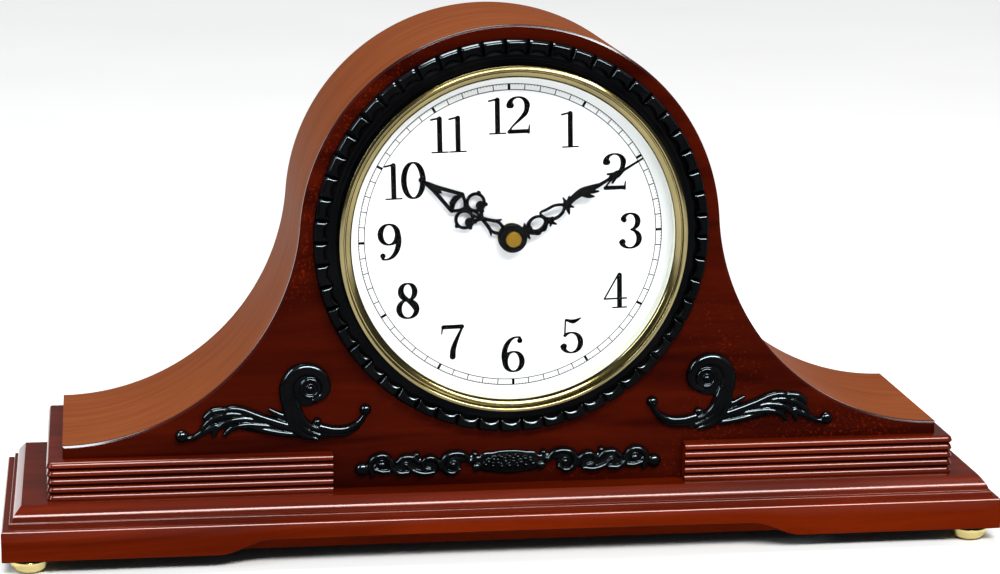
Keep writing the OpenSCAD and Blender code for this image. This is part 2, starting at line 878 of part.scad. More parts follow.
// Ring i of a lead's skin: sides points round the route, in the plane across its heading.
function lead_ring(route, i, sides) =
    let (ahead = route[min(i + 1, len(route) - 1)] - route[max(i - 1, 0)],
         t = ahead / norm(ahead),
         u = cross(t, [0, 1, 0]) / norm(cross(t, [0, 1, 0])),
         v = cross(t, u))
    [for (k = [0 : sides - 1])
        route[i] + lead_r * (cos(360 * k / sides) * u + sin(360 * k / sides) * v)];

// One lead as a closed skin swept along the route.
module lead(route) {
    sides = 8;
    count = len(route);
    points = [for (i = [0 : count - 1]) each lead_ring(route, i, sides)];
    polyhedron(points, concat(
        [[for (k = [0 : sides - 1]) k]],
        [for (i = [0 : count - 2], k = [0 : sides - 1]) [
            i * sides + k, (i + 1) * sides + k,
            (i + 1) * sides + (k + 1) % sides, i * sides + (k + 1) % sides
        ]],
        [[for (k = [sides - 1 : -1 : 0]) (count - 1) * sides + k]]
    ));
}

module speaker_leads() {
    color("red") for (side = [-1, 1])
        lead([for (p = lead_route) p + [0, 0, side * lead_gap / 2]]);
}

// ---- rear door -------------------------------------------------------------------------

module back_door() {
    color("saddlebrown") dial_slab(rear_panel_y - door_t, rear_panel_y)
        translate([-door_half_w, door_low])
            square([2 * door_half_w, door_high - door_low]);
}

module door_knob() {
    color("gold") translate([-door_half_w + 9, 0, dial_z]) rotate([-90, 0, 0])
        rotate_extrude() polygon(concat(
            [[0, rear_panel_y], [3, rear_panel_y], [2, rear_panel_y + 1.5]],
            [for (a = [-50 : 20 : 90]) [4 * cos(a), rear_panel_y + 5 + 3 * sin(a)]]
        ));
}

module catch_magnet() {
    color("dimgray") dial_slab(rear_inner_y - 4, rear_inner_y)
        translate([-hinge_x - 9, -9]) square([10.5, 18]);
}

// Both hinges: children(0) is drawn at each height.
module at_hinges() {
    for (z = hinge_offsets) translate([hinge_x, hinge_y, dial_z + z]) children();
}

module knuckle(z0, z1) {
    translate([0, 0, z0]) difference() {
        cylinder(h = z1 - z0, r = knuckle_r);
        translate([0, 0, -1]) cylinder(h = z1 - z0 + 2, r = hinge_pin_r + run_gap);
    }
}

// A leaf of the hinge, screwed to the wood beside the knuckle.
module hinge_leaf(side, z0, z1) {
    leaf_l = 9;
    clear = knuckle_r + 0.3;
    translate([side > 0 ? clear : -clear - leaf_l, -knuckle_r, z0]) cube([leaf_l, 1, z1 - z0]);
}

// The short root that joins a knuckle to its leaf.
module hinge_root(side, z0, z1) {
    difference() {
        translate([side > 0 ? 0 : -knuckle_r - 0.4, -knuckle_r, z0])
            cube([knuckle_r + 0.4, 1, z1 - z0]);
        translate([0, 0, z0 - 1]) cylinder(h = z1 - z0 + 2, r = hinge_pin_r + run_gap);
    }
}

module hinge_case_leaves() {
    color("gold") at_hinges() {
        hinge_leaf(1, 0, 16);
        for (z = [0, 11]) {
            knuckle(z, z + 5);
            hinge_root(1, z, z + 5);
        }
    }
}

module hinge_door_leaves() {
    color("gold") at_hinges() {
        hinge_leaf(-1, 5.2, 10.8);
        knuckle(5.2, 10.8);
        hinge_root(-1, 5.2, 10.8);
    }
}

module hinge_pins() {
    color("gold") at_hinges() {
        translate([0, 0, -0.8]) cylinder(h = 17.6, r = hinge_pin_r);
        for (z = [-1.4, 16.1]) translate([0, 0, z]) cylinder(h = 1.3, r = 1.2);
    }
}

// ---- nodes -----------------------------------------------------------------------------

base_board();
base_moulding_front();
base_moulding_back();
base_moulding_left();
base_moulding_right();
feet();
reeded_block_left();
reeded_block_right();
front_panel();
roof_band();
back_panel();
corner_battens();
dial_ring();
bezel();
glass();
dial_plate();
dial_board();
dial_screws();
scroll_left();
scroll_right();
garland();
hour_hand();
minute_hand();
hand_boss();
hand_cap();
movement_housing();
movement_cover();
fixing_nut();
fixing_washer();
train_plate_front();
train_plate_rear();
centre_wheel();
third_wheel();
second_wheel();
intermediate_wheel();
rotor();
minute_wheel();
hour_wheel();
stator();
coil();
circuit_board();
crystal();
battery_upper();
battery_lower();
battery_contacts();
setting_knob();
chime_selector();
volume_slider();
speaker_frame();
speaker_cone();
speaker_magnet();
speaker_leads();
back_door();
door_knob();
catch_magnet();
panel_screws();
hinge_case_leaves();
hinge_door_leaves();
hinge_pins();
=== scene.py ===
"""The looks of a tambour mantel clock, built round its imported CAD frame.

Lengths in this script are millimetres, in the part's frame: +X along the base, +Y to the rear, +Z up.
Meshes turn them into metres as they are made. The dial faces -Y.
"""

import json
import math

import bpy
import bmesh
import numpy as np
from mathutils import Matrix, Vector
from mathutils.geometry import tessellate_polygon


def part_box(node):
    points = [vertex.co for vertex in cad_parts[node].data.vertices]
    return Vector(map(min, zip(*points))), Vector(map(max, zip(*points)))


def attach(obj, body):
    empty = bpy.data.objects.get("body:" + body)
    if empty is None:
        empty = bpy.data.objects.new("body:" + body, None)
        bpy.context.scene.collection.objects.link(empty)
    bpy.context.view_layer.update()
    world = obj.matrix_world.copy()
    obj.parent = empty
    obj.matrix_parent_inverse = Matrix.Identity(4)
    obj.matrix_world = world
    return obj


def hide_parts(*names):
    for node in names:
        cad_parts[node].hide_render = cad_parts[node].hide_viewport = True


MM = 0.001
WELD_DISTANCE = 1e-7

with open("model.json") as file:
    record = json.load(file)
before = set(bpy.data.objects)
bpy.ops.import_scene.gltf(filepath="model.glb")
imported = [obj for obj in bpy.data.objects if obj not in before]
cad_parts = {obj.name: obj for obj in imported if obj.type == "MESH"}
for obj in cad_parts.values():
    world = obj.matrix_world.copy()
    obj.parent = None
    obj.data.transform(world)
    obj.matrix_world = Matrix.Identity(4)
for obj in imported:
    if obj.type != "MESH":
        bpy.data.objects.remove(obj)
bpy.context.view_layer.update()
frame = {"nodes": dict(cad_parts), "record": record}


def box_mm(node):
    """Lowest and highest corner of a CAD node, in millimetres."""
    low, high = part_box(node)
    return np.array(low) / MM, np.array(high) / MM


# ---- sizes taken from the CAD frame ----------------------------------------------------------

base_low, base_high = box_mm("base_moulding_front")
BASE_HALF_W = base_high[0]
BASE_FRONT_Y = base_low[1]
BASE_TOP_Z = base_high[2]
FOOT_H = box_mm("base_board")[0][2]
STRIP_T = base_high[1] - base_low[1]

block_low, block_high = box_mm("reeded_block_right")
REED_PITCH = 3.72
# (inset, drop below the reed's top) down one reed: a flattened shoulder, then a tight undercut.
REED_SECTION = [
    (1.60, 0.00), (1.10, 0.20), (0.78, 0.45), (0.50, 0.95), (0.32, 1.30), (0.16, 1.75),
    (0.05, 2.05), (0.00, 2.25), (0.12, 2.50), (0.45, 2.90), (0.95, 3.30), (1.55, 3.62),
]

panel_low, panel_high = box_mm("front_panel")
HALF_W = panel_high[0]
FRONT_Y = panel_low[1]
PANEL_REAR_Y = panel_high[1]
CASE_REAR_Y = box_mm("roof_band")[1][1]
TONGUE_X = block_low[0] - 0.2

dial_low, dial_high = box_mm("dial_plate")
DIAL_R = dial_high[0]
DIAL_Z = (dial_low[2] + dial_high[2]) / 2
DIAL_Y = dial_low[1]
RING_LOW, RING_HIGH = box_mm("dial_ring")
BEZEL_LOW, BEZEL_HIGH = box_mm("bezel")
GLASS_R = BEZEL_HIGH[0] - 5.6
INK_T = 0.05

# The sweep of the case: an arch over the dial, then an arc that ends level at each wing tip.
WING_Z = 54.2
ARCH_R = panel_high[2] - DIAL_Z
WING_DROP = WING_Z - DIAL_Z
SWEEP_R = (HALF_W**2 + WING_DROP**2 - ARCH_R**2) / (2 * (ARCH_R - WING_DROP))
SWEEP_Z = WING_Z + SWEEP_R

LIGHT_AIM_Z = 0.7 * DIAL_Z

# Clock angles, in degrees from twelve. The dial's print sits a little askew.
MINUTE_ANGLE = 58.8
HOUR_ANGLE = 302.9
PRINT_TILT = -1.7


# ---- mesh helpers ----------------------------------------------------------------------------


def placed(name, data):
    """A new object in the scene."""
    obj = bpy.data.objects.new(name, data)
    bpy.context.scene.collection.objects.link(obj)
    return obj


def piece(name, part, body, materials, stands_for=None, sharp=35, face_slots=None):
    """One closed mesh piece, from (points, faces), that rides on a body and may stand for a node.

    Edges over sharp degrees stay crisp, and face_slots picks one of the materials for each face.
    """
    points, faces = part
    mesh = bpy.data.meshes.new(name)
    mesh.from_pydata((points * MM).tolist(), [], faces)
    for entry in materials:
        mesh.materials.append(entry)
    if face_slots is not None:
        mesh.polygons.foreach_set("material_index", face_slots)
    work = bmesh.new()
    work.from_mesh(mesh)
    bmesh.ops.remove_doubles(work, verts=work.verts, dist=WELD_DISTANCE)
    bmesh.ops.recalc_face_normals(work, faces=work.faces)
    work.to_mesh(mesh)
    work.free()
    mesh.shade_smooth()
    mesh.set_sharp_from_angle(angle=math.radians(sharp))
    obj = placed(name, mesh)
    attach(obj, body)
    if stands_for:
        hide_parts(stands_for)


def grid_faces(rows, cols, wrap_rows=False, wrap_cols=False, start=0):
    """Quads over a grid of points that is stored row by row, from index start."""
    i = np.arange(rows if wrap_rows else rows - 1)[:, None]
    j = np.arange(cols if wrap_cols else cols - 1)[None, :]
    i2, j2 = (i + 1) % rows, (j + 1) % cols
    quads = np.stack([i * cols + j, i * cols + j2, i2 * cols + j2, i2 * cols + j], axis=-1)
    return (quads.reshape(-1, 4) + start).tolist()


def joined(parts):
    """Points and faces of several (points, faces) parts, as one list of each."""
    points, faces, start = [], [], 0
    for part_points, part_faces in parts:
        points.append(part_points)
        faces += [[k + start for k in face] for face in part_faces]
        start += len(part_points)
    return np.concatenate(points), faces


def mirrored(part):
    """The same part on the other side of the clock's middle plane."""
    points, faces = part
    return points * [-1, 1, 1], faces


def arc(cx, cy, rx, ry, start, end, count):
    """Points along an ellipse, from one angle to the other, in degrees."""
    a = np.radians(np.linspace(start, end, count))
    return np.stack([cx + rx * np.cos(a), cy + ry * np.sin(a)], axis=-1)


def smooth_line(points, per_span=10):
    """A Catmull-Rom curve through the points."""
    p = np.asarray(points, float)
    p = np.concatenate([[2 * p[0] - p[1]], p, [2 * p[-1] - p[-2]]])
    t = np.linspace(0, 1, per_span, endpoint=False)[:, None]
    spans = [
        0.5 * (2 * b + (c - a) * t + (2 * a - 5 * b + 4 * c - d) * t**2
               + (3 * b - a - 3 * c + d) * t**3)
        for a, b, c, d in zip(p[:-3], p[1:-2], p[2:-1], p[3:])
    ]
    return np.concatenate(spans + [p[-2:-1]])


def lofted(rows):
    """A solid through closed outlines of equal size, with a flat face at each end."""
    rows = np.array(rows)
    count, size = rows.shape[:2]
    ends = [list(range(size)), list(range((count - 1) * size, count * size))]
    return rows.reshape(-1, 3), grid_faces(count, size, wrap_cols=True) + ends


def on_dial(radius, angle, y):
    """The point at a radius and a clock angle in degrees, round the dial's axis."""
    a = np.radians(angle)
    return np.stack(np.broadcast_arrays(radius * np.sin(a), y, DIAL_Z + radius * np.cos(a)), axis=-1)


def turned(profile, closed, steps=192):
    """A piece turned on the dial's axis, from (radius, y) points."""
    profile = np.asarray(profile, float)
    angles = np.linspace(0, 360, steps, endpoint=False)
    points = on_dial(profile[:, :1], angles[None, :], profile[:, 1:])
    return points.reshape(-1, 3), grid_faces(len(profile), steps, closed, True)


# ---- raised shapes drawn with strokes --------------------------------------------------------


class Relief:
    """A raised shape on a fine grid, drawn with round dabs of a pen or a gouge.

    inside is above zero where there is material, and rise is the height of the carving there.
    """

    def __init__(self, low, high, step):
        self.step = step
        self.low = np.array(low, float)
        self.count = np.ceil((np.array(high) - self.low) / step).astype(int) + 1
        self.inside = np.full(self.count, -1.0)
        self.rise = np.zeros(self.count)

    def window(self, centre, reach):
        """Slices of the grid within reach of a point, and their distance from it."""
        first = np.floor((np.asarray(centre) - reach - self.low) / self.step).astype(int)
        last = np.ceil((np.asarray(centre) + reach - self.low) / self.step).astype(int) + 1
        first, last = np.clip(first, 0, self.count), np.clip(last, 0, self.count)
        view = (slice(first[0], last[0]), slice(first[1], last[1]))
        x = self.low[0] + self.step * np.arange(first[0], last[0])[:, None] - centre[0]
        z = self.low[1] + self.step * np.arange(first[1], last[1])[None, :] - centre[1]
        return view, np.hypot(x, z)

    def dab(self, centre, radius, rise=0.0):
        """A round dome."""
        view, distance = self.window(centre, radius + 2 * self.step)
        self.inside[view] = np.maximum(self.inside[view], radius - distance)
        dome = rise * np.sqrt(np.clip(1 - (distance / radius) ** 2, 0, 1))
        self.rise[view] = np.maximum(self.rise[view], dome)

    def pierce(self, centre, radius):
        """A round hole."""
        view, distance = self.window(centre, radius + 2 * self.step)
        self.inside[view] = np.minimum(self.inside[view], distance - radius)

    def stroke(self, line, widths, rises=0.0):
        """Dabs close together along a line; widths and rises are given at even steps along it."""
        line = np.asarray(line, float)
        along = np.concatenate([[0], np.cumsum(np.hypot(*np.diff(line, axis=0).T))])
        at = np.linspace(0, along[-1], max(2, int(along[-1] / self.step) + 1))
        share = at / along[-1]
        widths = np.interp(share, np.linspace(0, 1, np.size(widths)), np.ravel(widths))
        rises = np.interp(share, np.linspace(0, 1, np.size(rises)), np.ravel(rises))
        centres = np.stack([np.interp(at, along, line[:, k]) for k in (0, 1)], axis=-1)
        for centre, width, rise in zip(centres, widths, rises):
            self.dab(centre, width / 2, rise)

    def curve(self, points, widths, rises=0.0):
        """A stroke along a smooth line through the points."""
        self.stroke(smooth_line(points), widths, rises)

    def twin_curves(self, points, widths, rises=0.0):
        """A curve and its mirror image across the middle line."""
        for side in (1, -1):
            self.curve(np.asarray(points, float) * [side, 1], widths, rises)

    def grow(self, margin):
        """Makes every stroke wider by a small margin on each side."""
        self.inside += margin

    def flatten(self, bevel):
        """Gives the shape a flat top with a narrow bevelled edge."""
        self.rise = np.clip(self.inside, 0, bevel)

    def solid(self, edge):
        """Closed solid as (x, z, height) points and faces; edge is its height along the outline.

        The outline crosses the grid's lines where inside is zero, clear of their ends.
        """
        clear = 0.05
        on = self.inside > 0
        i, j = np.nonzero(on)
        grid = self.low + self.step * np.stack([i, j], axis=-1)
        points = [np.column_stack([grid, edge + self.rise[on]])]
        node_id = np.full(self.count, -1)
        node_id[on] = np.arange(len(i))
        total = len(i)
        crossing = []
        for axis in (0, 1):
            here = self.inside[:-1] if axis == 0 else self.inside[:, :-1]
            there = self.inside[1:] if axis == 0 else self.inside[:, 1:]
            cut = (here > 0) != (there > 0)
            ids = np.full(cut.shape, -1)
            ids[cut] = total + np.arange(cut.sum())
            total += int(cut.sum())
            share = np.clip(here[cut] / (here[cut] - there[cut]), clear, 1 - clear)
            place = np.stack(np.nonzero(cut), axis=-1).astype(float)
            place[:, axis] += share
            points.append(np.column_stack([self.low + self.step * place, np.full(len(place), edge)]))
            crossing.append(ids)
        points = np.concatenate(points)

        corners_on = on[:-1, :-1].astype(int) + on[1:, :-1] + on[1:, 1:] + on[:-1, 1:]
        ci, cj = np.nonzero(corners_on == 4)
        faces = np.stack(
            [node_id[ci, cj], node_id[ci + 1, cj], node_id[ci + 1, cj + 1], node_id[ci, cj + 1]],
            axis=-1,
        ).tolist()
        rim = []
        for ci, cj in zip(*np.nonzero((corners_on > 0) & (corners_on < 4))):
            corners = [(ci, cj), (ci + 1, cj), (ci + 1, cj + 1), (ci, cj + 1)]
            edges = [
                crossing[0][ci, cj], crossing[1][ci + 1, cj],
                crossing[0][ci, cj + 1], crossing[1][ci, cj],
            ]
            face, leaves = [], []
            for corner, edge_id in zip(corners, edges):
                if on[corner]:
                    face.append(int(node_id[corner]))
                if edge_id >= 0:
                    face.append(int(edge_id))
                    leaves.append((int(edge_id), bool(on[corner])))
            faces.append(face)
            for k, (edge_id, leaving) in enumerate(leaves):
                if leaving:
                    rim.append((edge_id, leaves[(k + 1) % len(leaves)][0]))

        back = points * [1, 1, 0]
        size = len(points)
        walls = [[b, a, a + size, b + size] for a, b in rim]
        under = [[k + size for k in reversed(face)] for face in faces]
        return np.concatenate([points, back]), faces + walls + under


def standing(part, y_back):
    """Turns (x, z, height) points into points that stand out towards the front from y_back."""
    points, faces = part
    return np.column_stack([points[:, 0], y_back - points[:, 2], points[:, 1]]), faces


def at_clock_angle(part, angle, y_back):
    """The same for a shape drawn pointing to twelve, turned to a clock angle on the dial."""
    points, faces = part
    a = math.radians(angle)
    x = points[:, 0] * math.cos(a) + points[:, 1] * math.sin(a)
    z = points[:, 1] * math.cos(a) - points[:, 0] * math.sin(a)
    return np.column_stack([x, y_back - points[:, 2], DIAL_Z + z]), faces


# ---- materials -------------------------------------------------------------------------------


class Shader:
    """One material's node tree. Sockets are named as Blender names them."""

    def __init__(self, name):
        self.material = bpy.data.materials.new(name)
        self.material.use_nodes = True
        self.tree = self.material.node_tree
        self.tree.nodes.clear()
        self.place = self.add("ShaderNodeTexCoord").outputs["Object"]

    def add(self, kind, sockets=None, **settings):
        """Adds a node; a socket is given a plain value or another node's socket to link to."""
        node = self.tree.nodes.new(kind)
        for key, value in settings.items():
            setattr(node, key, value)
        for key, value in (sockets or {}).items():
            if isinstance(value, bpy.types.NodeSocket):
                self.tree.links.new(value, node.inputs[key])
            else:
                node.inputs[key].default_value = value
        return node

    def noise(self, per_metre, detail=3.0, rough=0.5, warp=0.0):
        """Noise at one scale, or at a scale along each axis."""
        if not isinstance(per_metre, tuple):
            per_metre = (per_metre,) * 3
        place = self.add("ShaderNodeMapping", {"Vector": self.place, "Scale": per_metre})
        node = self.add("ShaderNodeTexNoise", {
            "Vector": place.outputs["Vector"], "Scale": 1.0, "Detail": detail,
            "Roughness": rough, "Distortion": warp,
        })
        return node.outputs["Fac"]

    def ramp(self, factor, low, high, start=0.3, full=0.7):
        """Colours a factor, from the low colour at start to the high one at full."""
        node = self.add("ShaderNodeValToRGB", {"Fac": factor})
        stops = ((start, low), (full, high))
        for element, (position, colour) in zip(node.color_ramp.elements, stops):
            element.position = position
            element.color = (*colour, 1.0)
        return node.outputs["Color"]

    def level(self, factor, low, high, start=0.0, full=1.0):
        """Maps a factor from start..full to low..high."""
        node = self.add("ShaderNodeMapRange", {
            "Value": factor, "From Min": start, "From Max": full, "To Min": low, "To Max": high,
        })
        return node.outputs["Result"]

    def mix(self, factor, a, b):
        """Mixes colours; b is plain. Their sockets go by index, because their names are not unique."""
        node = self.add("ShaderNodeMix", {"Factor": factor, 6: a, 7: (*b, 1.0)}, data_type="RGBA")
        return node.outputs[2]

    def math(self, operation, a, b):
        """Combines two factors."""
        return self.add("ShaderNodeMath", {0: a, 1: b}, operation=operation).outputs[0]

    def bump(self, height, depth_mm, strength=1.0, under=None):
        """The normal of a surface with small relief, which may lie over another relief."""
        sockets = {"Height": height, "Distance": depth_mm * MM, "Strength": strength}
        if under is not None:
            sockets["Normal"] = under
        return self.add("ShaderNodeBump", sockets).outputs["Normal"]

    def tilt(self):
        """The upward part of the surface's normal."""
        normal = self.add("ShaderNodeNewGeometry").outputs["Normal"]
        return self.add("ShaderNodeSeparateXYZ", {"Vector": normal}).outputs["Z"]

    def underside(self):
        """One where a surface faces down: a mask for painted shade under the reeds and other downward
        faces.
        """
        return self.level(self.tilt(), 0.0, 1.0, start=-0.06, full=-0.5)

    def polish(self, upright, tilted, start=0.08, full=0.34):
        """Gloss level that is low on upright faces and higher where a surface turns upwards."""
        return self.level(self.tilt(), upright, tilted, start, full)

    def finish(self, **sockets):
        """Ends the tree in a Principled surface; underscores stand for spaces."""
        named = {key.replace("_", " "): value for key, value in sockets.items()}
        surface = self.add("ShaderNodeBsdfPrincipled", named)
        self.output(surface.outputs["BSDF"])
        return self.material

    def output(self, surface):
        """Ends the tree in any surface."""
        self.add("ShaderNodeOutputMaterial", {"Surface": surface})


def grain_scale(axis, along, across):
    """Noise scale that is stretched along one axis."""
    return tuple(along if k == axis else across for k in range(3))


def lacquered_wood(name, axis, dark, light, roughness, pebble=0.0, shine=0.65,
                   coat=(1.0, 0.72, 0.70)):
    """Stained wood under lacquer: figure, fine pores along the grain, a slightly wavy coat and painted
    shade on faces that turn downwards.
    """
    s = Shader(name)
    figure = s.noise(grain_scale(axis, 5, 60), detail=6, rough=0.55, warp=0.8)
    pores = s.noise(grain_scale(axis, 90, 2200), detail=2, rough=0.6)
    patches = s.noise(14, detail=2)
    colour = s.ramp(figure, dark, light, 0.32, 0.68)
    colour = s.mix(s.level(pores, 0.0, 0.55), colour, dark)
    colour = s.mix(s.level(patches, 0.0, 0.30), colour, tuple(0.6 * c for c in dark))
    # Painted shade: faces that turn downwards, such as the lower halves of the reeds, are darkened in
    # the colour.
    colour = s.mix(s.underside(), colour, tuple(0.12 * c for c in dark))
    peel = s.noise(420, detail=2)
    normal = s.bump(peel, 0.012, 0.5)
    if pebble > 0:
        wrinkles = s.noise(760, detail=3, rough=0.55, warp=0.5)
        where = s.ramp(s.noise(9, detail=1), (0.3,) * 3, (1.0,) * 3, 0.35, 0.65)
        normal = s.bump(s.math("MULTIPLY", wrinkles, where), pebble, under=normal)
        crests = s.ramp(s.math("MULTIPLY", wrinkles, where), (0.0,) * 3, (1.0,) * 3, 0.54, 0.70)
        colour = s.mix(s.math("MULTIPLY", crests, 0.5), colour, tuple(2.4 * c for c in light))
    rough = s.level(patches, roughness - 0.04, roughness + 0.05)
    return s.finish(
        Base_Color=colour, Roughness=rough, Normal=normal,
        Specular_IOR_Level=s.polish(0.01, shine), Specular_Tint=(*coat, 1.0),
    )


def veneer(name):
    """Satin brown veneer bent over the roof, its grain running over the arch."""
    s = Shader(name)
    figure = s.noise((16, 260, 16), detail=6, rough=0.6, warp=0.7)
    pores = s.noise((300, 3000, 300), detail=2, rough=0.6)
    patches = s.noise((11, 18, 11), detail=3)
    colour = s.ramp(figure, (0.160, 0.038, 0.011), (0.255, 0.074, 0.023))
    colour = s.mix(s.level(pores, 0.0, 0.5), colour, (0.105, 0.028, 0.011))
    colour = s.mix(s.level(patches, 0.0, 0.4), colour, (0.17, 0.045, 0.016))
    normal = s.bump(s.math("ADD", pores, s.noise(300, detail=1)), 0.02, 0.5)
    return s.finish(
        Base_Color=colour, Roughness=s.level(patches, 0.40, 0.52), Normal=normal,
        Specular_IOR_Level=0.01,
    )


def bare_wood(name, axis, dark, light):
    """Unfinished or thinly stained wood."""
    s = Shader(name)
    figure = s.noise(grain_scale(axis, 6, 150), detail=6, rough=0.6, warp=1.0)
    fibres = s.noise(grain_scale(axis, 150, 2600), detail=2)
    colour = s.ramp(figure, dark, light)
    colour = s.mix(s.level(fibres, 0.0, 0.45), colour, dark)
    normal = s.bump(fibres, 0.05, 0.5)
    return s.finish(Base_Color=colour, Roughness=s.level(fibres, 0.60, 0.85), Normal=normal)


def black_lacquer(name):
    """Moulded ornament in glossy black, slightly uneven and duller in places."""
    s = Shader(name)
    cloud = s.noise(60, detail=4)
    colour = s.ramp(cloud, (0.0008, 0.0008, 0.001), (0.0025, 0.0022, 0.0025), start=0.35)
    normal = s.bump(s.noise(700, detail=2), 0.02, 0.35)
    return s.finish(
        Base_Color=colour, Roughness=s.level(cloud, 0.08, 0.16), Normal=normal,
        Specular_IOR_Level=s.polish(0.02, 1.0, 0.16, 0.40), Specular_Tint=(0.72, 0.92, 1.0, 1.0),
    )


def metal(name, dark, light, roughness, scratch=900, depth=0.006, lacquer=0.0):
    """Plated or polished metal with faint wear and hairlines, and clear lacquer where it has any."""
    s = Shader(name)
    cloud = s.noise(45, detail=4)
    hairs = s.noise(scratch, detail=3, rough=0.6)
    colour = s.ramp(cloud, dark, light)
    rough = s.math("ADD", s.level(cloud, roughness, roughness + 0.06), s.level(hairs, 0.0, 0.08))
    return s.finish(
        Base_Color=colour, Metallic=1.0, Roughness=rough, Normal=s.bump(hairs, depth, 0.5),
        Coat_Weight=lacquer, Coat_Roughness=0.06,
    )


def plastic(name, dark, light, roughness, grain=1100, depth=0.03, gloss=0.3):
    """Moulded plastic with its spark-eroded grain."""
    s = Shader(name)
    cloud = s.noise(40, detail=3)
    texture = s.noise(grain, detail=2, rough=0.6)
    colour = s.ramp(cloud, dark, light)
    return s.finish(
        Base_Color=colour, Roughness=s.level(texture, roughness - 0.06, roughness + 0.08),
        Normal=s.bump(texture, depth, 0.5), Specular_IOR_Level=gloss,
    )


def enamel_white(name):
    """White printed dial: a hint of lilac in the coat and a faint orange peel."""
    s = Shader(name)
    cloud = s.noise(18, detail=3)
    colour = s.ramp(cloud, (0.73, 0.74, 0.775), (0.78, 0.79, 0.815))
    normal = s.bump(s.noise(900, detail=2), 0.01, 0.3)
    return s.finish(
        Base_Color=colour, Roughness=s.level(cloud, 0.36, 0.46), Normal=normal,
        Specular_IOR_Level=0.2,
    )


def ink(name):
    """Printing ink, a little thinner in places."""
    s = Shader(name)
    cloud = s.noise(500, detail=3)
    colour = s.ramp(cloud, (0.0006, 0.0006, 0.0008), (0.0018, 0.0018, 0.002), full=0.75)
    return s.finish(
        Base_Color=colour, Roughness=s.level(cloud, 0.45, 0.6), Specular_IOR_Level=0.02,
    )


def clear_glass(name):
    """Thin lens: almost all of the light goes through, and it mirrors more at a glancing angle."""
    s = Shader(name)
    ripple = s.bump(s.noise(25, detail=1), 0.01, 0.2)
    through = s.add("ShaderNodeBsdfTransparent", {"Color": (0.985, 0.99, 0.99, 1.0)})
    mirror = s.add("ShaderNodeBsdfGlossy", {
        "Color": (1.0, 1.0, 1.0, 1.0), "Roughness": 0.02, "Normal": ripple,
    })
    share = s.add("ShaderNodeFresnel", {"IOR": 1.07, "Normal": ripple}).outputs["Fac"]
    surface = s.add("ShaderNodeMixShader", {0: share, 1: through.outputs[0], 2: mirror.outputs[0]})
    s.output(surface.outputs[0])
    return s.material


def floor_material(name):
    """Plain pale studio paper."""
    s = Shader(name)
    cloud = s.noise(3, detail=3)
    colour = s.ramp(cloud, (0.86, 0.86, 0.86), (0.89, 0.89, 0.89))
    return s.finish(Base_Color=colour, Roughness=0.9, Specular_IOR_Level=0.1)


MAHOGANY_DARK = (0.052, 0.0038, 0.0004)
MAHOGANY_LIGHT = (0.165, 0.0145, 0.0011)
PANEL_DARK = (0.016, 0.0010, 0.0002)
PANEL_LIGHT = (0.068, 0.0052, 0.0010)

wood_along_x = lacquered_wood("mahogany_along_x", 0, MAHOGANY_DARK, MAHOGANY_LIGHT, 0.14)
wood_along_y = lacquered_wood("mahogany_along_y", 1, MAHOGANY_DARK, MAHOGANY_LIGHT, 0.14)
wood_panel = lacquered_wood("mahogany_panel", 0, PANEL_DARK, PANEL_LIGHT, 0.26, pebble=0.18)
wood_edge = lacquered_wood("mahogany_edge", 0, PANEL_DARK, PANEL_LIGHT, 0.14, shine=1.0,
                           coat=(0.50, 0.55, 0.58))
roof_veneer = veneer("roof_veneer")
black_gloss = black_lacquer("black_lacquer")
brass = metal("polished_brass", (0.52, 0.43, 0.16), (0.70, 0.59, 0.26), 0.10)
bezel_brass = metal("bezel_brass", (0.15, 0.120, 0.036), (0.24, 0.195, 0.065), 0.09, lacquer=1.0)
satin_brass = metal("satin_brass", (0.21, 0.12, 0.012), (0.27, 0.16, 0.018), 0.40)
dial_white = enamel_white("dial_enamel")
dial_ink = ink("dial_ink")
hand_black = plastic("hand_black", (0.0008, 0.0008, 0.001), (0.002, 0.002, 0.0022), 0.34,
                     depth=0.01, gloss=0.03)
rehaut_cream = plastic("rehaut_cream", (0.62, 0.64, 0.50), (0.74, 0.76, 0.62), 0.35, depth=0.005)
glass_clear = clear_glass("clear_glass")

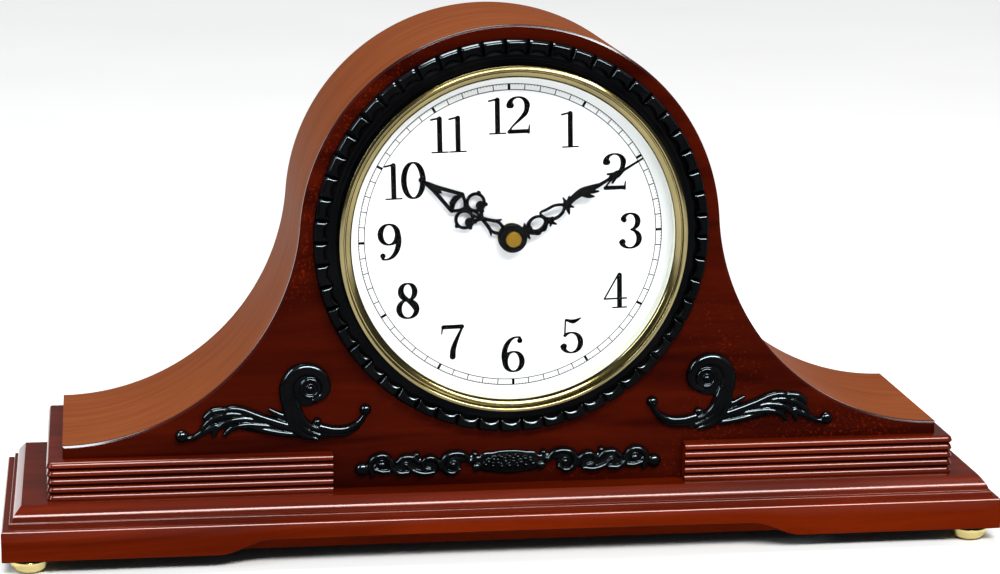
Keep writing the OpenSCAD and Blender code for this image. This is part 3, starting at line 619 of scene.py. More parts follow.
SLOT_MATERIALS = {
    "mahogany": wood_along_x,
    "roof_veneer": roof_veneer,
    "back_wood": bare_wood("back_stain", 0, (0.055, 0.018, 0.008), (0.16, 0.06, 0.026)),
    "plain_wood": bare_wood("plain_wood", 2, (0.36, 0.23, 0.12), (0.56, 0.39, 0.22)),
    "black_carving": black_gloss,
    "brass": brass,
    "glass": glass_clear,
    "dial_white": dial_white,
    "hand_black": hand_black,
    "movement_plastic": plastic("movement_plastic", (0.020, 0.020, 0.022), (0.034, 0.034, 0.037),
                                0.5),
    "train_plastic": plastic("train_plastic", (0.66, 0.64, 0.56), (0.76, 0.75, 0.69), 0.4,
                             depth=0.01),
    "gear_brass": metal("milled_brass", (0.60, 0.42, 0.15), (0.78, 0.58, 0.25), 0.25,
                        scratch=(300, 3000, 300)),
    "rotor_ferrite": plastic("rotor_ferrite", (0.03, 0.03, 0.034), (0.06, 0.06, 0.065), 0.7),
    "steel": metal("nickel_steel", (0.46, 0.46, 0.47), (0.66, 0.66, 0.67), 0.22,
                   scratch=(400, 400, 2500)),
    "copper_winding": metal("copper_winding", (0.42, 0.15, 0.05), (0.66, 0.28, 0.12), 0.3,
                            scratch=(200, 200, 9000), depth=0.05),
    "board_green": plastic("board_green", (0.008, 0.070, 0.028), (0.015, 0.110, 0.045), 0.35),
    "cell_sleeve": plastic("cell_sleeve", (0.035, 0.045, 0.070), (0.055, 0.065, 0.095), 0.3,
                           depth=0.01),
    "selector_red": plastic("selector_red", (0.36, 0.018, 0.012), (0.48, 0.030, 0.020), 0.35),
    "speaker_paper": plastic("speaker_paper", (0.012, 0.012, 0.012), (0.028, 0.027, 0.026), 0.85,
                             grain=700, depth=0.15),
    "magnet_iron": plastic("magnet_iron", (0.07, 0.07, 0.074), (0.13, 0.13, 0.135), 0.55,
                           grain=800, depth=0.06),
    "lead_insulation": plastic("lead_insulation", (0.30, 0.012, 0.010), (0.42, 0.022, 0.016), 0.35,
                               depth=0.01),
}


def dress_cad_nodes():
    """Gives every CAD node the material of its slot, and a small eased edge where it is boxy."""
    for entry in frame["record"]["subparts"]:
        node = frame["nodes"][entry["node"]]
        node.data.materials.clear()
        node.data.materials.append(SLOT_MATERIALS[entry["material_slot"]])
    weld_distance, crisp_under = 1e-6, 40
    edge_widths = {
        "back_panel": 0.5, "back_door": 0.6, "movement_housing": 0.5, "movement_cover": 0.3,
        "chime_selector": 0.2, "volume_slider": 0.2, "corner_battens": 0.5, "catch_magnet": 0.4,
        "setting_knob": 0.2, "circuit_board": 0.1,
    }
    for name, width in edge_widths.items():
        node = frame["nodes"][name]
        node.modifiers.new("weld", "WELD").merge_threshold = weld_distance
        bevel = node.modifiers.new("eased_edges", "BEVEL")
        bevel.width = width * MM
        bevel.segments = 2
        bevel.limit_method = "ANGLE"
        bevel.angle_limit = math.radians(crisp_under)
        bevel.harden_normals = True


# ---- base ------------------------------------------------------------------------------------


def moulding_profile():
    """(depth behind the face, height) up the face of the edge moulding, to its flat top."""
    fascia_top = FOOT_H + 14.4
    step = [(0, -1.1), (0.05, -0.9), (0.45, -0.2), (0.65, 0.0), (1.0, 0.1), (3.3, 0.6), (3.4, 0.8)]
    bead = arc(4.3, 2.1, 0.85, 0.75, 185, 70, 8)
    quirk = [(4.9, 2.9), (5.05, 3.1)]
    ovolo = smooth_line([(5.05, 3.1), (5.2, 4.3), (5.6, 5.2), (6.1, 6.0), (7.0, 7.1), (8.0, 8.3),
                         (9.0, 9.4)], 4)
    return np.concatenate([step, bead, quirk, ovolo[1:]]) + [0, fascia_top]


def moulding(length, underside):
    """A mitred strip with its face on y = 0; underside(x) is the height of its lower edge."""
    profile = moulding_profile()
    half, pitch, arris = length / 2, 1.5, 0.35
    inner = half - STRIP_T - 0.5
    rows = []
    for x in np.concatenate([[-half], np.linspace(-inner, inner, int(length / pitch)), [half]]):
        low = underside(x)
        section = np.concatenate([[[STRIP_T, low], [arris, low], [0, low + arris]], profile])
        place = np.full(len(section), x)
        if abs(x) == half:
            place = np.sign(x) * (half - section[:, 0])
        rows.append(np.column_stack([place, section[:, 0], section[:, 1]]))
    return lofted(rows)


def arched_underside(x):
    """Lower edge of the front moulding: a long, low arch with an ogee at each end."""
    half, run, rise, bow = 134.5, 24.0, 6.4, 0.5
    share = np.clip((half - abs(x)) / run, 0, 1)
    crown = bow * max(0.0, 1 - (x / (half - run)) ** 2)
    return FOOT_H + rise * (1 - math.cos(math.pi * share)) / 2 + crown


def build_base():
    """Four moulded strips mitred round the base board."""
    length, depth = 2 * BASE_HALF_W, -2 * BASE_FRONT_Y
    strips = [
        ("front", length, depth, 0, wood_along_x, arched_underside),
        ("right", depth, length, 90, wood_along_y, lambda x: FOOT_H),
        ("back", length, depth, 180, wood_along_x, lambda x: FOOT_H),
        ("left", depth, length, 270, wood_along_y, lambda x: FOOT_H),
    ]
    for side, strip_length, across, turn, finish, underside in strips:
        points, faces = moulding(strip_length, underside)
        points[:, 1] -= across / 2
        a = math.radians(turn)
        x = points[:, 0] * math.cos(a) - points[:, 1] * math.sin(a)
        y = points[:, 0] * math.sin(a) + points[:, 1] * math.cos(a)
        name = "base_moulding_" + side
        piece(name + "_carved", (np.column_stack([x, y, points[:, 2]]), faces), "case",
              [finish], name, sharp=25)
    frame["nodes"]["base_board"].data.materials[0] = wood_along_x


def build_feet():
    """Four domed brass feet with flat undersides and a rounded rim."""
    radius, flat_r, dome_h, rim_r, steps = 9.0, 3.2, 5.4, 0.9, 64
    profile = np.concatenate([
        [[0, 0], [flat_r, 0]],
        arc(flat_r, dome_h, radius - flat_r, dome_h, -90, 0, 18),
        arc(radius - rim_r, dome_h + 0.2, rim_r, 0.8, 0, 90, 5),
        [[radius - 1.4, FOOT_H], [0, FOOT_H]],
    ])
    reach_x, reach_y, _ = box_mm("feet")[1] - radius
    angles = np.radians(np.linspace(0, 360, steps, endpoint=False))
    shape = np.stack([
        profile[:, :1] * np.cos(angles), profile[:, :1] * np.sin(angles),
        np.repeat(profile[:, 1:], steps, axis=1),
    ], axis=-1).reshape(-1, 3)
    faces = grid_faces(len(profile), steps, wrap_cols=True)
    parts = [(shape + [sx * reach_x, sy * reach_y, 0], faces) for sx in (-1, 1) for sy in (-1, 1)]
    piece("brass_feet", joined(parts), "case", [brass], "feet")


def reeded_block():
    """The right-hand plinth block, as plan outlines stacked from its top down to its foot."""
    low, high = block_low, block_high
    reeds, corner_r, stations = 5, 3.0, 40
    tops = high[2] - REED_PITCH * np.arange(reeds)
    levels = [(inset, top - drop) for top in tops for inset, drop in REED_SECTION]
    levels = [(inset, z) for inset, z in levels if z > low[2]]
    levels.append((levels[-1][0], low[2]))
    front_x = np.linspace(low[0], high[0] - corner_r - 2, stations)
    rows = []
    for inset, z in levels:
        turn_r = corner_r - inset
        plan = np.concatenate([
            np.column_stack([front_x, np.full(stations, low[1] + inset)]),
            arc(high[0] - corner_r, low[1] + corner_r, turn_r, turn_r, -90, 0, 10),
            [[high[0] - inset, high[1]], [low[0], high[1]]],
        ])
        rows.append(np.column_stack([plan, np.full(len(plan), z)]))
    return lofted(rows)


def build_blocks():
    """The two plinth blocks, one the mirror image of the other."""
    block = reeded_block()
    for side, part in (("right", block), ("left", mirrored(block))):
        name = "reeded_block_" + side
        piece(name + "_turned", part, "case", [wood_along_x], name, sharp=55)


# ---- case ------------------------------------------------------------------------------------


def case_line(inset, foot_z):
    """Points over the case from the right wing's foot to the left one's, inset from its outline."""
    sweep_steps, arch_steps = 120, 90
    radius = SWEEP_R + inset
    join = math.degrees(math.atan2(SWEEP_Z - DIAL_Z, HALF_W))
    tip = 270 - math.degrees(math.asin(inset / radius))
    side = HALF_W - inset
    sweep = arc(HALF_W, SWEEP_Z, radius, radius, tip, 180 + join, sweep_steps)
    arch = arc(0, DIAL_Z, ARCH_R - inset, ARCH_R - inset, join, 90, arch_steps)
    right = np.concatenate([[[side, foot_z]], sweep, arch[1:]])
    return np.concatenate([right, (right * [-1, 1])[-2::-1]])


def build_roof():
    """Bent skin with its rear edges rounded, the outer one more than the inner one."""
    skin, outer_r, inner_r = 4.0, 1.2, 0.4
    section = np.concatenate([
        [[0, PANEL_REAR_Y], [0, 0]],
        arc(outer_r, CASE_REAR_Y - outer_r, -outer_r, outer_r, 0, 90, 7),
        [[skin - inner_r, CASE_REAR_Y], [skin, CASE_REAR_Y - inner_r], [skin, PANEL_REAR_Y]],
    ])
    rows = []
    for inset, y in section:
        line = case_line(inset, block_high[2])
        rows.append(np.column_stack([line[:, 0], np.full(len(line), y), line[:, 1]]))
    count, size = len(rows), len(rows[0])
    ends = [[k * size for k in range(count)], [k * size + size - 1 for k in range(count)]]
    faces = grid_faces(count, size, wrap_rows=True) + ends
    piece("roof_band_bent", (np.concatenate(rows), faces), "case", [roof_veneer],
          "roof_band", sharp=50)


def flat_face_with_hole(outer, hole, outer_at, hole_at):
    """Triangles between an outer loop and a hole, whose points start at the given indices."""
    size = len(outer)
    triangles = tessellate_polygon([[Vector(p) for p in outer], [Vector(p) for p in hole]])
    return [[k + outer_at if k < size else k - size + hole_at for k in face] for face in triangles]


def build_front_panel():
    """Front panel with a bevelled front edge; the roof's veneer laps over the rest of its edge."""
    hole_r, hole_steps, lap_y = DIAL_R + 0.6, 160, FRONT_Y + 1.9
    bevel = [(0, 0.66), (0.10, 0.46), (0.66, 0.15), (0.90, 0.03), (1.20, 0)]
    section = [(0, PANEL_REAR_Y), (0, lap_y)] + [(inset, FRONT_Y + y) for inset, y in bevel]
    foot = [[-TONGUE_X, block_high[2]], [-TONGUE_X, BASE_TOP_Z], [TONGUE_X, BASE_TOP_Z],
            [TONGUE_X, block_high[2]]]
    loops = []
    for inset, y in section:
        line = np.concatenate([case_line(inset, block_high[2]), foot])
        loops.append(np.column_stack([line[:, 0], np.full(len(line), y), line[:, 1]]))
    size = len(loops[0])
    edge_faces = grid_faces(len(loops), size, wrap_cols=True)
    in_veneer, in_bevel = 1, 2
    edge_slots = [in_veneer if face < size else in_bevel for face in range(len(edge_faces))]
    angles = np.linspace(0, 360, hole_steps, endpoint=False)
    hole_front = on_dial(hole_r, angles, FRONT_Y)
    hole_rear = on_dial(hole_r, angles, PANEL_REAR_Y)
    hole_at = len(loops) * size
    front = flat_face_with_hole(loops[-1], hole_front, hole_at - size, hole_at)
    rear = flat_face_with_hole(loops[0], hole_rear, 0, hole_at + hole_steps)
    hole_wall = grid_faces(2, hole_steps, wrap_cols=True, start=hole_at)
    faces = edge_faces + front + rear + hole_wall
    slots = edge_slots + [0] * (len(faces) - len(edge_faces))
    piece("front_panel_shaped", (np.concatenate(loops + [hole_front, hole_rear]), faces), "case",
          [wood_panel, roof_veneer, wood_edge], "front_panel", sharp=18,
          face_slots=slots)


# ---- dial, ring and bezel --------------------------------------------------------------------


def carving(name, part, node):
    """A black moulded ornament in place of a node of the case."""
    piece(name, part, "case", [black_gloss], node, sharp=60)


def build_dial_ring():
    """Black ring: pillow-shaped lobes with scooped inner ends, outside a scalloped fillet."""
    lobes, lobe_steps, valley_h = 54, 15, 0.3
    inner, outer = RING_HIGH[0] - 11.4, RING_HIGH[0]
    lobe_in, crown_from = inner + 4.6, outer - 1.7
    full_h = FRONT_Y - RING_LOW[1]
    side = 1 - (1 - np.linspace(0, 1, lobe_steps)) ** 1.7
    across = np.concatenate([-side[:0:-1], side[:-1]]) / 2
    angle = (np.arange(lobes)[:, None] + across[None, :]).ravel() * 360 / lobes
    across = np.tile(across, lobes)[None, :]
    radius = np.concatenate([
        np.linspace(inner, lobe_in, 14), np.linspace(lobe_in + 0.15, lobe_in + 3.6, 24),
        np.linspace(lobe_in + 3.8, crown_from, 8), outer - 1.6 * (np.linspace(1, 0, 12) ** 2),
    ])[:, None]

    # The fillet is a low bead that runs out between the lobes as tongues.
    fillet_mid, fillet_half, fillet_rise, tongue_slope = 1.9, 1.6, 0.28, 0.30
    bead = np.clip(1 - ((radius - inner - fillet_mid) / fillet_half) ** 2, 0, 1)
    fillet = 0.62 * full_h + fillet_rise * bead
    tongue = fillet - tongue_slope * np.clip(radius - lobe_in, 0, 4)

    # A lobe is level along its top and falls away at its rim, its flanks and its scooped inner end.
    crown_w, rim_share, gap_in, gap_growth, scoop = 1.8, 0.30, 0.30, 0.4, 2.3
    shoulder_w, shoulder_slope, wall_w, wall_h = 1.1, 0.53, 0.25, 1.3
    crown = np.clip((radius - crown_from) / crown_w, 0, 1)
    top = full_h * (rim_share + (1 - rim_share) * np.sqrt(np.clip(1 - crown**2, 0, 1)))
    gap = gap_in + gap_growth * np.clip((radius - lobe_in) / (outer - lobe_in), 0, 1)
    half_lobe = math.pi * radius / lobes
    from_side = half_lobe * (1 - 2 * np.abs(across)) - gap
    from_end = radius - (lobe_in + scoop * (1 - (2 * across) ** 2))
    from_edge = np.minimum(from_side, from_end)
    shoulder = shoulder_slope * np.clip(shoulder_w - from_edge, 0, shoulder_w)
    wall = wall_h * np.clip(1 - from_edge / wall_w, 0, 1) ** 2
    valley = np.where(from_end > 0, valley_h, tongue)
    height = np.where(from_edge > 0, np.maximum(top - shoulder - wall, valley_h), valley)

    surface = on_dial(radius, angle[None, :], FRONT_Y - height)
    back = [on_dial(np.full(len(angle), r), angle, FRONT_Y) for r in (inner, outer)]
    rows = np.concatenate([back[0][None], surface, back[1][None]])
    faces = grid_faces(len(rows), len(angle), True, True)
    carving("dial_ring_lobed", (rows.reshape(-1, 3), faces), "dial_ring")


def build_bezel():
    """Brass bezel: an outer bead, a deep groove and a sloping band; its inside is cream."""
    outer, front = BEZEL_HIGH[0], BEZEL_LOW[1]
    # (inset, depth) over the bead, whose outer flank is a facet that catches the light from above.
    bead = [(0, 1.10), (0.04, 0.82), (0.16, 0.64), (0.22, 0.60), (1.04, 0.16), (1.12, 0.12),
            (1.30, 0.02), (1.40, 0.0), (1.75, 0.18), (2.05, 0.55), (2.20, 1.10)]
    profile = np.concatenate([
        [[DIAL_R + 0.4, DIAL_Y], [DIAL_R + 0.4, FRONT_Y], [outer, FRONT_Y]],
        [[outer - inset, front + depth] for inset, depth in bead],
        [[outer - 2.3, front + 2.0], [outer - 2.6, front + 2.0], [outer - 2.7, front + 1.3]],
        [[outer - 3.0, front + 1.1], [outer - 4.2, front + 1.6], [GLASS_R + 0.2, front + 2.5]],
        [[GLASS_R + 0.1, front + 2.8], [DIAL_R - 0.3, DIAL_Y]],
    ])
    steps = 256
    first_cream = (len(profile) - 2) * steps
    part = turned(profile, True, steps)
    piece("bezel_turned", part, "case", [bezel_brass, rehaut_cream], "bezel",
          face_slots=[int(face >= first_cream) for face in range(len(part[1]))])


def build_glass():
    """Flat lens with its edges taken off."""
    low, high = box_mm("glass")
    front, rear, front_edge, rear_edge = low[1], high[1], 0.3, 0.2
    profile = [
        [0, front], [GLASS_R - front_edge, front], [GLASS_R, front + front_edge],
        [GLASS_R, rear - rear_edge], [GLASS_R - rear_edge, rear], [0, rear],
    ]
    piece("glass_lens", turned(profile, False), "case", [glass_clear], "glass")


def build_dial_plate():
    """White disc with a hole for the arbors and a softened front edge."""
    low, high = box_mm("dial_plate")
    hole, edge = 5.1, 0.25
    profile = [[hole, low[1]], [DIAL_R - edge, low[1]], [DIAL_R, low[1] + edge],
               [DIAL_R, high[1]], [hole, high[1]]]
    piece("dial_plate_enamelled", turned(profile, True), "case", [dial_white],
          "dial_plate")


def pen_widths(line, thin=0.75, thick=2.5):
    """Widths of a broad pen's stroke: thick where it runs up and down, thin where it runs across."""
    run = np.gradient(np.asarray(line, float), axis=0)
    upright = np.abs(run[:, 1]) / np.hypot(run[:, 0], run[:, 1])
    return thin + (thick - thin) * upright**2


# The strokes of each numeral, from the middle of its foot. A pen line has the widths of a broad
# pen, bars and bends have widths of their own, and a ball is a round end of a stroke.
DIGITS = {
    0: [("pen", arc(0, 8.3, 4.3, 8.0, 0, 360, 64), None)],
    1: [("bar", [(0, 1.1), (0, 15.4)], 2.2),
        ("bar", [(-3.6, 0.3), (3.6, 0.3)], 0.6),
        ("bar", [(-3.8, 15.0), (-0.4, 15.7)], 0.8)],
    2: [("ball", (-3.3, 12.7), 1.3),
        ("pen", arc(-0.1, 12.3, 4.1, 4.0, 175, 0, 40), None),
        ("bend", [(4.0, 12.3), (3.2, 9.2), (0.4, 6.2), (-2.6, 3.4), (-4.5, 0.9)],
         [2.3, 2.1, 1.3, 0.8, 0.8]),
        ("bar", [(-4.2, 0.9), (4.2, 0.9)], 1.8),
        ("bar", [(4.5, 0.2), (4.9, 3.6)], [1.1, 0.5])],
    3: [("ball", (-3.1, 13.3), 1.15),
        ("ball", (-3.8, 3.2), 1.35),
        ("pen", arc(-0.3, 12.5, 3.5, 3.7, 160, -80, 40), None),
        ("pen", arc(-0.4, 4.5, 4.2, 4.2, 84, -160, 40), None)],
    4: [("bar", [(2.0, 1.1), (2.0, 15.4)], 2.2),
        ("bar", [(1.6, 16.0), (-5.0, 4.6)], 0.7),
        ("bar", [(-5.1, 4.5), (5.2, 4.5)], 0.7),
        ("bar", [(-1.2, 0.3), (5.2, 0.3)], 0.6)],
    5: [("bend", [(-2.8, 15.8), (0.6, 14.9), (4.0, 16.3)], [1.0, 2.0, 0.6]),
        ("bar", [(-3.0, 15.6), (-3.4, 8.6)], 0.7),
        ("pen", arc(-0.4, 5.0, 4.3, 4.7, 132, -158, 48), None),
        ("ball", (-3.8, 3.4), 1.35)],
    6: [("pen", arc(0.3, 4.9, 3.9, 4.6, 0, 360, 56), None),
        ("pen", arc(2.0, 7.6, 6.0, 8.7, 195, 76, 40), None),
        ("ball", (3.3, 14.6), 1.2)],
    7: [("bar", [(-4.2, 15.3), (4.4, 15.3)], 1.9),
        ("bar", [(-4.5, 15.6), (-5.0, 12.2)], [0.9, 0.5]),
        ("bend", [(4.6, 15.2), (2.0, 9.8), (0.2, 5.0), (-0.2, 1.4)], [0.9, 1.5, 2.3, 2.7])],
    8: [("pen", arc(0.1, 12.5, 3.2, 3.8, 0, 360, 48), None),
        ("pen", arc(0, 4.5, 4.0, 4.2, 0, 360, 48), None),
        ("bend", [(-2.7, 13.8), (-1.8, 10.6), (1.5, 7.2), (3.4, 4.2)], [1.4, 1.9, 2.0, 1.5])],
    9: [("pen", arc(-0.3, 11.7, 3.9, 4.6, 0, 360, 56), None),
        ("pen", arc(-2.0, 9.0, 6.0, 8.7, 15, -104, 40), None),
        ("ball", (-3.3, 2.0), 1.2)],
}


def draw_digit(relief, digit, foot):
    """Draws one upright numeral, 16.6 mm tall, with the middle of its foot at a point."""
    for kind, line, widths in DIGITS[digit]:
        line = np.asarray(line, float)
        if kind == "pen":
            for part in (line[k:k + 2] for k in range(len(line) - 1)):
                relief.stroke(part + foot, pen_widths(part))
        elif kind == "bar":
            relief.stroke(line + foot, widths)
        elif kind == "bend":
            relief.curve(line + foot, widths)
        else:
            relief.dab(line + foot, widths)


def build_numerals():
    """The twelve numerals, upright on a circle, as a thin layer of ink."""
    centre_r, half_h = 55.0, 8.3
    pair_places = {10: (-5.0, 3.9), 11: (-4.0, 4.2), 12: (-5.4, 4.1)}
    relief = Relief((-64, -67), (64, 67), 0.14)
    spread = 0.05
    for hour in range(1, 13):
        a = math.radians(30 * hour)
        x, z = centre_r * math.sin(a), centre_r * math.cos(a) - half_h
        digits = [int(c) for c in str(hour)]
        for digit, dx in zip(digits, pair_places.get(hour, (0.0,))):
            draw_digit(relief, digit, [x + dx, z])
    relief.grow(spread)
    part = at_clock_angle(relief.solid(INK_T), PRINT_TILT, DIAL_Y)
    piece("dial_numerals", part, "case", [dial_ink])


def printed_ring(radius, width):
    """A thin circle of ink on the dial."""
    low, high = radius - width / 2, radius + width / 2
    profile = [[low, DIAL_Y], [high, DIAL_Y], [high, DIAL_Y - INK_T], [low, DIAL_Y - INK_T]]
    return turned(profile, True, 360)


def printed_tick(angle, r0, r1, width):
    """A thin bar of ink on a radius of the dial."""
    a = math.radians(angle)
    out, side = np.array([math.sin(a), 0, math.cos(a)]), np.array([math.cos(a), 0, -math.sin(a)])
    foot = [out * r + side * w for r, w in
            ((r0, -width / 2), (r1, -width / 2), (r1, width / 2), (r0, width / 2))]
    points = np.array(foot + foot) + [0, DIAL_Y, DIAL_Z]
    points[4:, 1] -= INK_T
    return points, grid_faces(2, 4, wrap_cols=True) + [[0, 1, 2, 3], [4, 5, 6, 7]]


def build_minute_track():
    """Two fine circles, a bar for every minute and a fringe of short ticks in the outer circle."""
    inner, outer, line, overlap = 66.5, 69.15, 0.36, 0.1
    hour_bar, minute_bar, fringe = 1.2, 0.42, 0.22
    fringe_pitch, fringe_from, fringe_to = 1.2, outer - 0.7, outer - 0.05
    parts = [printed_ring(inner, line), printed_ring(outer, line)]
    for minute in range(60):
        angle = 6 * minute + PRINT_TILT
        width = hour_bar if minute % 5 == 0 else minute_bar
        parts.append(printed_tick(angle, inner - overlap, outer + overlap, width))
        parts += [printed_tick(angle + fringe_pitch * k, fringe_from, fringe_to, fringe)
                  for k in range(1, 5)]
    piece("dial_minute_track", joined(parts), "case", [dial_ink])


# ---- hands -----------------------------------------------------------------------------------


def build_hand(name, relief, bore, angle):
    """Thickens a hand's strokes, bores its eye, bevels its edges and points it at its hour."""
    bevel, spread = 0.12, 0.2
    relief.grow(spread)
    relief.pierce((0, 0), bore)
    relief.flatten(bevel)
    low, high = box_mm(name)
    part = at_clock_angle(relief.solid(high[1] - low[1] - bevel), angle, high[1])
    piece(name + "_pierced", part, name, [hand_black], name)


def build_minute_hand():
    """Pierced minute hand, drawn pointing to twelve."""
    r = Relief((-7, -6), (7, 70), 0.11)
    r.dab((0, 0), 4.8)
    r.stroke([(0, 4), (0.2, 8.6)], [3.0, 2.4])
    r.curve([(-2.8, 7.9), (0, 6.6), (4.2, 6.5)], [0.4, 2.6, 0.4])
    r.curve([(-2.2, 5.7), (0.6, 7.2), (3.4, 8.8)], [0.4, 2.4, 0.4])
    r.stroke(arc(0.3, 12.6, 3.3, 4.1, 90, 450, 60), [0.9, 0.9, 1.1, 2.0, 1.8, 1.9, 1.0])
    r.curve([(3.4, 9.4), (4.4, 11.2), (3.6, 12.8), (4.2, 14.4), (2.6, 16.4)],
            [0.9, 1.3, 1.5, 1.2, 1.0])
    r.curve([(0.6, 17.2), (-3.2, 16.4), (-3.1, 20.0), (-2.7, 24.0), (-0.6, 27.2), (1.9, 25.2),
             (2.5, 21.2), (0.6, 17.2)], [1.4, 0.6, 1.0, 0.9, 1.0, 1.1, 1.2, 1.6])
    r.stroke([(1.6, 17.6), (4.9, 20.0)], [2.2, 0.4])
    r.stroke([(2.0, 19.8), (4.2, 17.4)], [1.8, 0.4])
    r.dab((0, 28.5), 1.9)
    petals = [((-3.6, 28.7), 2.0), ((-2.8, 31.4), 1.8), ((4.1, 27.4), 2.6), ((2.4, 30.6), 1.6)]
    for tip, root_w in petals:
        r.stroke([(0, 28.6), tip], [root_w, 0.4])
    r.curve([(0, 28.7), (-1.2, 33.0), (-1.5, 37.4), (-0.7, 41.8), (0, 46.0)],
            [2.0, 2.6, 3.4, 2.7, 1.3])
    r.curve([(-0.4, 37.6), (1.6, 39.0), (3.2, 41.0)], [2.6, 1.8, 0.4])
    r.curve([(-0.1, 40.4), (1.2, 42.0), (2.2, 43.8)], [2.2, 1.3, 0.4])
    r.stroke([(0, 44.5), (0, 51)], [1.4, 1.0])
    for side in (-1, 1):
        r.stroke([(0, 55.2), (2.3 * side, 51.2)], [1.6, 0.5])
    r.stroke([(0, 51.4), (0, 53.4), (0, 58.4)], [1.8, 3.0, 0.8])
    r.stroke([(0, 57), (0, 68.4)], [0.9, 0.5])
    build_hand("minute_hand", r, 1.0, MINUTE_ANGLE)


def build_hour_hand():
    """Pierced hour hand, drawn pointing to twelve."""
    r = Relief((-11, -7), (11, 52), 0.11)
    r.dab((0, 0), 6.3)
    r.twin_curves([(0, 16.6), (1.2, 13.2), (2.3, 10.6), (4.1, 8.7)], [1.5, 1.2, 1.3, 0.4])
    r.twin_curves([(2.2, 10.8), (2.5, 8.6), (1.5, 5.4)], [1.0, 1.1, 1.3])
    r.dab((0, 16.9), 1.2)
    r.twin_curves([(0, 16.6), (2.2, 18.2), (3.8, 19.4)], [1.5, 1.2, 1.5])
    r.twin_curves([(0, 17.4), (0.9, 19.6), (0.7, 22.8)], [1.0, 0.8, 1.0])
    for side in (-1, 1):
        r.stroke(arc(side * 4.6, 22.9, 3.85, 3.85, 0, 360, 60), 1.1)
        r.dab((side * 4.5, 20.2), 1.95)
        r.dab((side * 6.3, 18.5), 0.75)
        r.dab((side * 2.9, 18.2), 0.75)
        r.dab((side * 8.9, 24.1), 0.8)
    r.dab((0, 23), 1.1)
    r.twin_curves([(0, 25.4), (2.4, 27.3), (4.5, 30.0)], [1.2, 1.0, 1.3])
    r.twin_curves([(4.5, 30.0), (2.8, 35.6), (1.2, 41.0), (0, 45.4)], [1.3, 1.4, 1.5, 1.6])
    r.stroke([(0, 23.4), (0, 25.6)], 1.3)
    r.stroke([(-3.8, 30.0), (-1.2, 31.6), (1.2, 31.6), (3.8, 30.0)], [0.9, 2.4, 2.4, 0.9])
    r.stroke([(0, 38.6), (0, 42.0), (0, 46.0)], [0.5, 3.2, 1.9])
    r.stroke([(0, 44.6), (0, 49.2)], [1.5, 0.9])
    r.dab((0, 49.3), 1.0)
    build_hand("hour_hand", r, 2.1, HOUR_ANGLE)


def build_hub():
    """Black boss with a rounded rim, and the brass cap nut in front of it."""
    shaft_r, rim_r, recess, cap_rim_r = 1.0, 0.7, 0.25, 0.5
    low, high = box_mm("hand_boss")
    seat_y = low[1] + recess
    boss = np.concatenate([
        [[shaft_r, high[1]], [6.4, high[1]]],
        arc(high[0] - rim_r, low[1] + rim_r, rim_r, rim_r, 0, -90, 8),
        [[4.1, low[1]], [3.9, seat_y], [3.6, seat_y], [shaft_r, seat_y]],
    ])
    piece("hand_boss_turned", turned(boss, True, 96), "minute_hand", [hand_black],
          "hand_boss")
    low, high = box_mm("hand_cap")
    cap = np.concatenate([
        [[0, low[1] + 0.05], [2.6, low[1]]],
        arc(3.0, low[1] + cap_rim_r, cap_rim_r, cap_rim_r, -90, 0, 8),
        [[high[0], high[1]], [shaft_r, high[1]], [shaft_r, high[1] - 0.5], [0, high[1] - 0.5]],
    ])
    piece("hand_cap_turned", turned(cap, False, 96), "minute_hand", [satin_brass],
          "hand_cap")


# ---- carved ornaments ------------------------------------------------------------------------


